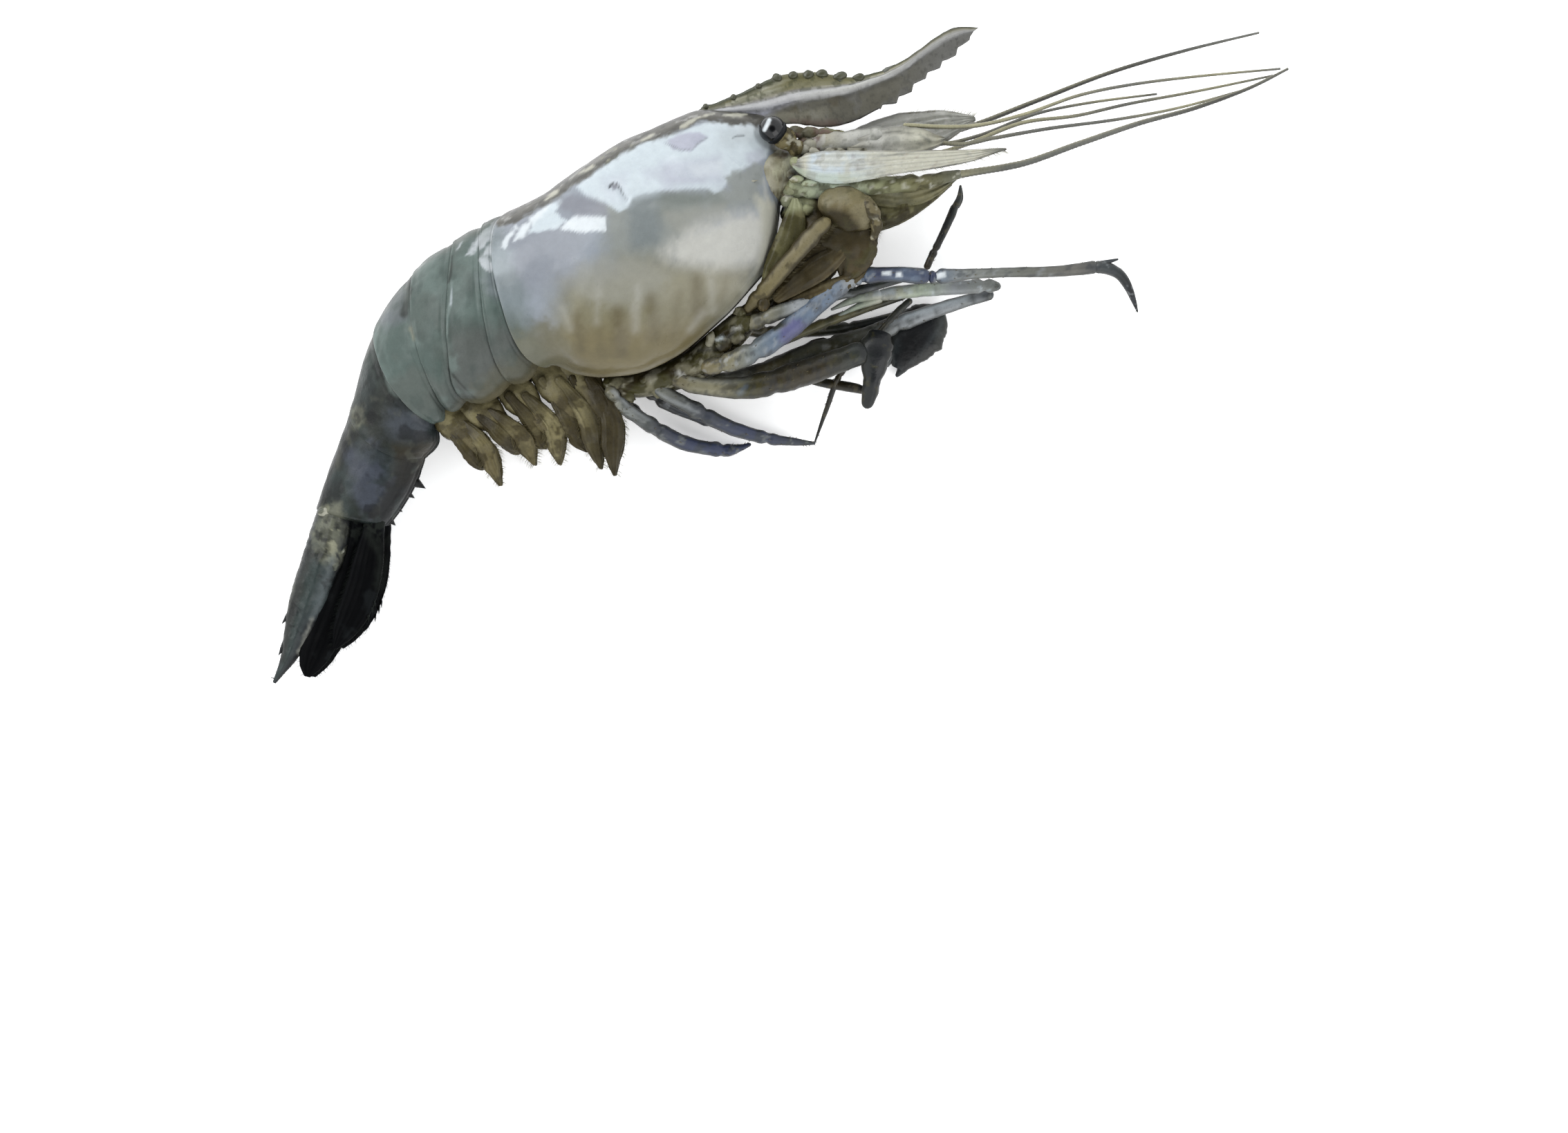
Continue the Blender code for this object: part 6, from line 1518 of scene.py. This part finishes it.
    c = limb([(930, 547, 16.9, 1.2), (948, 558, 16.8, 1.4), (966, 571, 16.4, 1.45), (1008, 594, 14.4, 1.5), (1056, 618, 11.9, 1.5), (1110, 633, 8.6, 1.2), (1150, 638, 6.7, 0.8),
              (1180, 640, 5.4, 0.3)], joints=(1, 3.2, 5), sides=26, flat=0.85, seed=10)
    leg("leg_4_right", ["pereiopod_4_right"], [c, leg_spines(c, 44, 0.8, 12)],
        [(926, "taupe"), (960, "smoke_dark"), (1010, "leg_dark"), (1080, "leg_navy"), (1180, "leg_dark")],
        marks=(("stroke", "leg_pale", [(944, 564), (970, 580), (1010, 596)], dict(width=4, soft=4, strength=0.6)),), seed=67, mottles=("char", "leg_grey"))
    c = limb([(878, 560, 17.1, 1.2), (892, 578, 16.8, 1.4), (906, 592, 16.4, 1.4), (950, 620, 13.2, 1.5), (992, 641, 10.0, 1.5), (1045, 650, 7.4, 1.3), (1068, 647, 6.4, 0.8),
              (1086, 641, 5.9, 0.3)], joints=(1, 3, 5), sides=26, flat=0.85, seed=11)
    # painted highlight: the pale stroke along the upper edge near the base of this leg
    leg("leg_5_right", ["pereiopod_5_right"], [c, leg_spines(c, 44, 0.8, 13)],
        [(878, "taupe"), (905, "leg_grey"), (950, "leg_dark"), (1000, "leg_navy"), (1086, "leg_navy")],
        marks=(("stroke", "leg_pale", [(888, 566), (912, 588), (940, 606)], dict(width=5, soft=4, strength=0.7)),), seed=68, mottles=("char", "leg_grey"))

    c = limb([(1076, 476, 8.7, 1.1), (1108, 478, 6.8, 1.25), (1140, 478, 5.0, 1.2), (1230, 470, 1.8, 1.15), (1330, 446, 1.5, 1.1)], joints=(1, 3), sides=22, seed=12)
    leg("leg_1_left", ["pereiopod_1_left"], [c, leg_spines(c, 26, 0.8, 14)], [(1076, "umber"), (1140, "olive_dark"), (1240, "char"), (1330, "leg_dark")], seed=69, mottles=("char", "olive"))
    c = plate([(1362, 442, 2.0, 1.4, 1.1), (1352, 454, 2.1, 4.0, 1.7), (1336, 472, 2.2, 5.4, 1.9), (1320, 494, 2.1, 5.0, 1.8), (1309, 513, 1.9, 3.5, 1.6),
               (1301, 530, 1.6, 1.4, 1.2)], per_span=20, sides=60, lens=0.8, edge_noise=0.06, wave=0.2, seed=13)
    f1 = finger([(1316, 512, 2.0, 1.5), (1308, 528, 1.7, 1.1), (1298, 542, 1.3, 0.3)])
    f2 = finger([(1300, 500, 2.0, 1.4), (1290, 514, 1.7, 1.0), (1284, 528, 1.3, 0.3)])
    leg("leg_1_left_hand", ["pereiopod_1_left_hand"], [c, f1, f2], [(1270, "leg_grey"), (1296, "gunmetal"), (1310, "ink"), (1350, "ink"), (1370, "char")],
        marks=(("stroke", "gunmetal", [(1368, 448), (1362, 470), (1340, 500)], dict(width=4, soft=4, strength=0.6)),
               ("stroke", "leg_dark", [(1290, 470), (1320, 460), (1350, 448)], dict(width=10, soft=8, strength=0.7)),
               ("patch", "black", [(1300, 480), (1340, 470), (1336, 510), (1306, 530)], dict(soft=10, wobble=3, strength=0.7))), seed=70, mottles=("ink", "gunmetal"))
    c = limb([(996, 548, 9.5, 1.4), (1030, 552, 8.2, 1.9), (1075, 549, 6.6, 2.5), (1130, 531, 5.4, 2.7), (1180, 507, 4.5, 2.4), (1240, 489, 4.4, 2.1), (1300, 466, 4.5, 1.7),
              (1370, 441, 4.6, 1.4), (1440, 421, 4.6, 1.1)], joints=(1, 4.4, 6), sides=30, flat=0.75, seed=14, swell=0.08)
    # painted highlight: the ice stroke along the upper edge of the outer part of this leg
    leg("leg_2_left", ["pereiopod_2_left"], [c, leg_spines(c, 50, 0.8, 16)],
        [(996, "taupe"), (1040, "cream_dim"), (1070, "smoke_dark"), (1110, "umber"), (1150, "char"), (1225, "olive_dark"), (1262, "smoke_dark"), (1310, "leg_pale"), (1400, "leg_pale"), (1444, "leg_dark")],
        marks=(("stroke", "olive", [(1090, 545), (1130, 520), (1180, 500)], dict(width=7, soft=6, strength=0.5)),
               ("stroke", "ice", [(1290, 462), (1350, 442), (1400, 428)], dict(width=6, soft=5, strength=0.7)),
               ("stroke", "smoke_dark", [(1150, 508), (1200, 490), (1250, 474)], dict(width=6, soft=6, strength=0.6, wobble=3))), seed=71, edge_shade=0.7, mottles=("char", "leg_grey"))
    c = limb([(1450, 412, 7.2, 0.7), (1430, 411, 7.8, 1.3), (1400, 413, 8.3, 1.4), (1350, 416, 8.5, 1.4), (1300, 421, 8.4, 1.4), (1270, 426, 8.2, 1.2)], joints=(1.2,), sides=26, flat=0.75, seed=15)
    f1 = finger([(1278, 424, 8.4, 1.2), (1240, 430, 8.1, 0.9), (1202, 446, 7.6, 0.25)])
    f2 = finger([(1278, 428, 8.1, 1.0), (1244, 440, 7.8, 0.7), (1210, 456, 7.4, 0.2)])
    leg("leg_2_left_hand", ["pereiopod_2_left_hand"], [c, f1, f2, leg_spines(c, 26, 0.7, 17)],
        [(1202, "sage"), (1240, "mint"), (1280, "bone"), (1330, "mint"), (1380, "leg_pale"), (1430, "leg_grey"), (1452, "char")],
        marks=(("patch", "ice", [(1262, 414), (1296, 412), (1296, 424), (1264, 426)], dict(soft=4, wobble=3, strength=0.8)),), seed=72, edge_shade=0.45, mottles=("sage", "ice"))
    c = limb([(1012, 538, 9.2, 1.1), (1040, 527, 9.4, 1.2), (1110, 500, 9.6, 1.1), (1220, 455, 6.6, 1.0), (1312, 424, 6.1, 0.75)], joints=(1, 2.8), sides=20, seed=16)
    leg("leg_3_left", ["pereiopod_3_left"], [c, leg_spines(c, 30, 0.7, 18)], [(1012, "umber"), (1100, "olive_dark"), (1220, "olive"), (1312, "char")], seed=73, mottles=("char", "olive"))
    c = limb([(1320, 430, 6.5, 0.65), (1300, 448, 6.7, 0.72), (1285, 464, 6.8, 0.65), (1250, 502, 6.6, 0.62), (1215, 541, 6.2, 0.62), (1196, 590, 4.0, 0.5), (1178, 641, 1.8, 0.18)],
             joints=(2, 4), sides=16, seed=17)
    bar = limb([(1162, 547, 4.6, 0.5), (1200, 553, 5.2, 1.0), (1240, 560, 6.0, 1.0), (1256, 566, 6.6, 0.5)], sides=14, seed=18, flat=0.8)
    leg("leg_3_left_foot", ["pereiopod_3_left_foot"], [c, bar, leg_spines(c, 36, 0.8, 19)], [(0, "char"), (0.5, "mud"), (1, "ink")], seed=74, mottles=("ink", "umber"))
    c = limb([(926, 556, 9.8, 1.2), (950, 572, 8.4, 1.4), (972, 586, 7.0, 1.4), (1030, 607, 3.4, 1.3), (1110, 631, 1.9, 1.0), (1140, 636, 1.6, 0.7), (1158, 638, 1.5, 0.25)],
             joints=(1, 3, 4.4), sides=22, seed=19)
    leg("leg_4_left", ["pereiopod_4_left"], [c, leg_spines(c, 40, 0.8, 20)], [(926, "mud"), (980, "leg_dark"), (1060, "leg_navy"), (1176, "char")], seed=75)
    c = limb([(890, 562, 10.0, 1.2), (908, 586, 8.4, 1.4), (928, 606, 6.6, 1.4), (980, 635, 3.2, 1.4), (1044, 650, 1.8, 1.1), (1066, 648, 1.5, 0.7), (1082, 643, 1.3, 0.25)],
             joints=(1, 3, 4.4), sides=22, seed=20)
    leg("leg_5_left", ["pereiopod_5_left"], [c, leg_spines(c, 40, 0.8, 21)], [(890, "mud"), (940, "leg_dark"), (1000, "leg_navy"), (1120, "char")], seed=76)


# ----------------------------------------------------------------- swimmerets
PADDLES = [((848, 558), (875, 612), (888, 688)), ((806, 560), (842, 612), (868, 678)),
           ((757, 580), (792, 622), (808, 672)), ((707, 601), (746, 634), (772, 672)),
           ((662, 616), (694, 652), (722, 702))]


def swimmerets():
    for i, (root, middle, tip) in enumerate(PADDLES, 1):
        full = 1.0 - 0.05 * i
        for side, sign in (("right", 1), ("left", -1)):
            base = 12.6 - 0.35 * i
            q = lambda t: tuple(through(np.array([root, middle, tip], float), t * 2))
            at = [q(t) for t in (0, 0.2, 0.4, 0.55, 0.75, 1.0)]
            up = lambda k, f: (at[0][0] + (at[0][0] - at[1][0]) * f + k, at[0][1] + (at[0][1] - at[1][1]) * f)
            stem = plate([(*up(-4, 2.4), base + sign * 2.4, 2.6, 1.6), (*up(0, 1.0), base + sign * 3.0, 3.6, 1.8), (*at[0], base + sign * 3.4, 3.6, 1.9),
                          (*at[1], base + sign * 3.8, 3.0 * full, 1.8), (*at[2], base + sign * 4.0, 2.2 * full, 1.6),
                          (*at[3], base + sign * 4.0, 1.2 * full, 1.1)], per_span=11, sides=34, keel=0.5, wave=0.8, seed=100 + i, lens=0.9, edge_noise=0.06)
            leaf1 = plate([(*up(10, 0.8), base + sign * 4.6, 0.9, 0.7), (at[1][0] + 12, at[1][1], base + sign * 5.3, 1.5, 0.8),
                           (at[2][0] + 12, at[2][1], base + sign * 5.6, 2.2 * full, 0.9), (at[3][0] + 9, at[3][1], base + sign * 5.4, 2.5 * full, 0.9),
                           (at[4][0] + 3, at[4][1] - 2, base + sign * 5.0, 2.1 * full, 0.7), (at[5][0] + 1, at[5][1], base + sign * 4.2, 0.25, 0.4)],
                          per_span=12, sides=40, ribs=4, rib_mm=0.13, cup=0.12, wave=0.7, seed=110 + i, kind=2, edge_noise=0.09)
            leaf2 = plate([(*up(-14, 0.8), base + sign * 3.6, 0.9, 0.7), (at[1][0] - 12, at[1][1] + 2, base + sign * 4.4, 1.6, 0.8),
                           (at[2][0] - 14, at[2][1] + 2, base + sign * 4.6, 2.2 * full, 0.9), (at[3][0] - 15, at[3][1] - 1, base + sign * 4.4, 2.5 * full, 0.9),
                           (at[4][0] - 16, at[4][1] - 10, base + sign * 3.8, 2.2 * full, 0.7), (at[5][0] - 18, at[5][1] - 26, base + sign * 3.0, 0.4, 0.4)],
                          per_span=12, sides=38, ribs=4, rib_mm=0.13, cup=0.12, wave=0.7, seed=120 + i, kind=3, edge_noise=0.10)
            hairs = [fringe(leaf1, 1, 0.25, 0.99, 70, 1.8, radius=0.03, seed=i, lean=1.0), fringe(leaf1, -1, 0.25, 0.99, 70, 1.8, radius=0.03, seed=i + 7, lean=1.0),
                     fringe(leaf2, -1, 0.25, 0.99, 60, 1.6, radius=0.03, seed=i + 9, lean=1.0)]

            def paint(p):
                p.ramp([(0, "paddle_pale"), (0.3, "paddle_pale"), (0.6, "paddle"), (1, "umber")])
                p.lay("paddle_pale" if i in (2, 3) else "paddle", (p.kind == 2) * 0.65)
                p.lay("paddle_dark", (p.kind == 3) * 0.75)
                p.lay("paddle_pale", 0.55 * np.exp(-((p.across + 0.55) / 0.26) ** 2) * (p.kind == 2) * smooth(p.broad + 0.8) * (1.0 if i in (2, 3) else 0.6))
                p.lay("paddle_dark", 0.5 * smooth(np.cos(5 * math.pi * p.across + 1.5 * p.broad) - 0.2) * (p.kind >= 2))
                p.mottle("paddle_dark", 2.6, 0.1, 0.7, seed=130 + i)
                p.mottle("paddle_pale", 2.6, 0.35, 0.30, seed=140 + i)
                p.lay("mud", 0.85 * smooth((p.x - 836) / 30))
                p.lay("mud", 0.75 * smooth((0.34 - p.along) / 0.2) * (p.kind >= 2))
                p.lay("paddle_dark", 0.6 * smooth((np.abs(p.across) - 0.78) / 0.2) * (p.kind != 1))
                p.lay("paddle_pale", 0.55 * smooth((580 - p.y) / 26) * (1.0 if i != 1 else 0.0))
                p.lay("paddle", (p.kind == 1) * 0.7)
            make("swimmeret_%d_%s" % (i, side), [stem, leaf1, leaf2] + hairs, PADM, ["pleopod_%d_%s" % (i, side)], "paddle", paint, seed=80 + i)


carapace_piece()
abdomen()
tail_fan()
eyes()
scales()
feelers()
mouth()
legs()
swimmerets()

# --------------------------------------------------------- table, light, view
table_mat = bpy.data.materials.new("table")
table_mat.use_nodes = True
tb = table_mat.node_tree.nodes["Principled BSDF"]
tb.inputs["Roughness"].default_value = 0.7
tb.inputs["Specular IOR Level"].default_value = 0.2
tb.inputs["Emission Color"].default_value = (1, 1, 1, 1)
tb.inputs["Emission Strength"].default_value = 0.28
board = table_mat.node_tree.nodes.new("ShaderNodeTexNoise")
board.inputs["Scale"].default_value = 1 / 0.004
board.inputs["Detail"].default_value = 4
where = table_mat.node_tree.nodes.new("ShaderNodeTexCoord")
shade = table_mat.node_tree.nodes.new("ShaderNodeMapRange")
shade.inputs["To Min"].default_value = 0.965
shade.inputs["To Max"].default_value = 0.975
table_mat.node_tree.links.new(where.outputs["Object"], board.inputs["Vector"])
table_mat.node_tree.links.new(board.outputs[0], shade.inputs["Value"])
table_mat.node_tree.links.new(shade.outputs[0], tb.inputs["Base Color"])
span = np.linspace(-3, 3, 25)
flat = np.stack(np.meshgrid(span, span, indexing="ij") + [np.full((25, 25), -0.00002)], -1)
board_mesh = bpy.data.meshes.new("table_top")
board_mesh.from_pydata(flat.reshape(-1, 3).tolist(), [], sheet_faces(25, 25, closed=False))
board_mesh.materials.append(table_mat)
table_top = bpy.data.objects.new("table_top", board_mesh)
bpy.context.scene.collection.objects.link(table_top)

scene = bpy.context.scene
scene.view_settings.view_transform = "Standard"
world = bpy.data.worlds.new("soft_room")
world.use_nodes = True
wt = world.node_tree
wt.nodes["Background"].inputs["Color"].default_value = (0.97, 0.985, 1.0, 1)
# soft room light, dark only in a round patch straight overhead
way = wt.nodes.new("ShaderNodeTexCoord")
parts = wt.nodes.new("ShaderNodeSeparateXYZ")
cap = wt.nodes.new("ShaderNodeMapRange")
cap.interpolation_type = "SMOOTHSTEP"
cap.inputs["From Min"].default_value = 0.80
cap.inputs["From Max"].default_value = 0.97
cap.inputs["To Min"].default_value = 1.77
cap.inputs["To Max"].default_value = 0.14
wt.links.new(way.outputs["Generated"], parts.inputs[0])
wt.links.new(parts.outputs["Z"], cap.inputs["Value"])
wt.links.new(cap.outputs[0], wt.nodes["Background"].inputs["Strength"])
scene.world = world


def softbox(name, direction, distance, size, power, colour=(1, 1, 1)):
    light = bpy.data.lights.new(name, "AREA")
    light.shape = "RECTANGLE"
    light.size, light.size_y = size
    light.energy = power
    light.color = colour
    ob = bpy.data.objects.new(name, light)
    d = Vector(direction).normalized()
    ob.location = d * distance
    ob.rotation_mode = "QUATERNION"
    ob.rotation_quaternion = d.to_track_quat("Z", "Y")
    scene.collection.objects.link(ob)
    return ob


softbox("key", (-0.60, 0.44, 0.68), 0.85, (1.0, 0.42), 5.8)
softbox("fill", (0.55, -0.70, 0.85), 1.1, (0.8, 0.8), 3.0, (1.0, 0.99, 0.97))

camera = bpy.data.cameras.new("camera")
camera.sensor_width = 36.0
camera.lens = 36.0 * 1.2 / (2268 * GRID)
cam = bpy.data.objects.new("camera", camera)
cam.location = ((1134 - ORIGIN_X) * GRID, (ORIGIN_Y - 819.5) * GRID, 1.2 + 0.015)
cam.rotation_euler = (0, 0, 0)
camera.clip_start, camera.clip_end = 0.05, 20
scene.collection.objects.link(cam)
scene.camera = cam
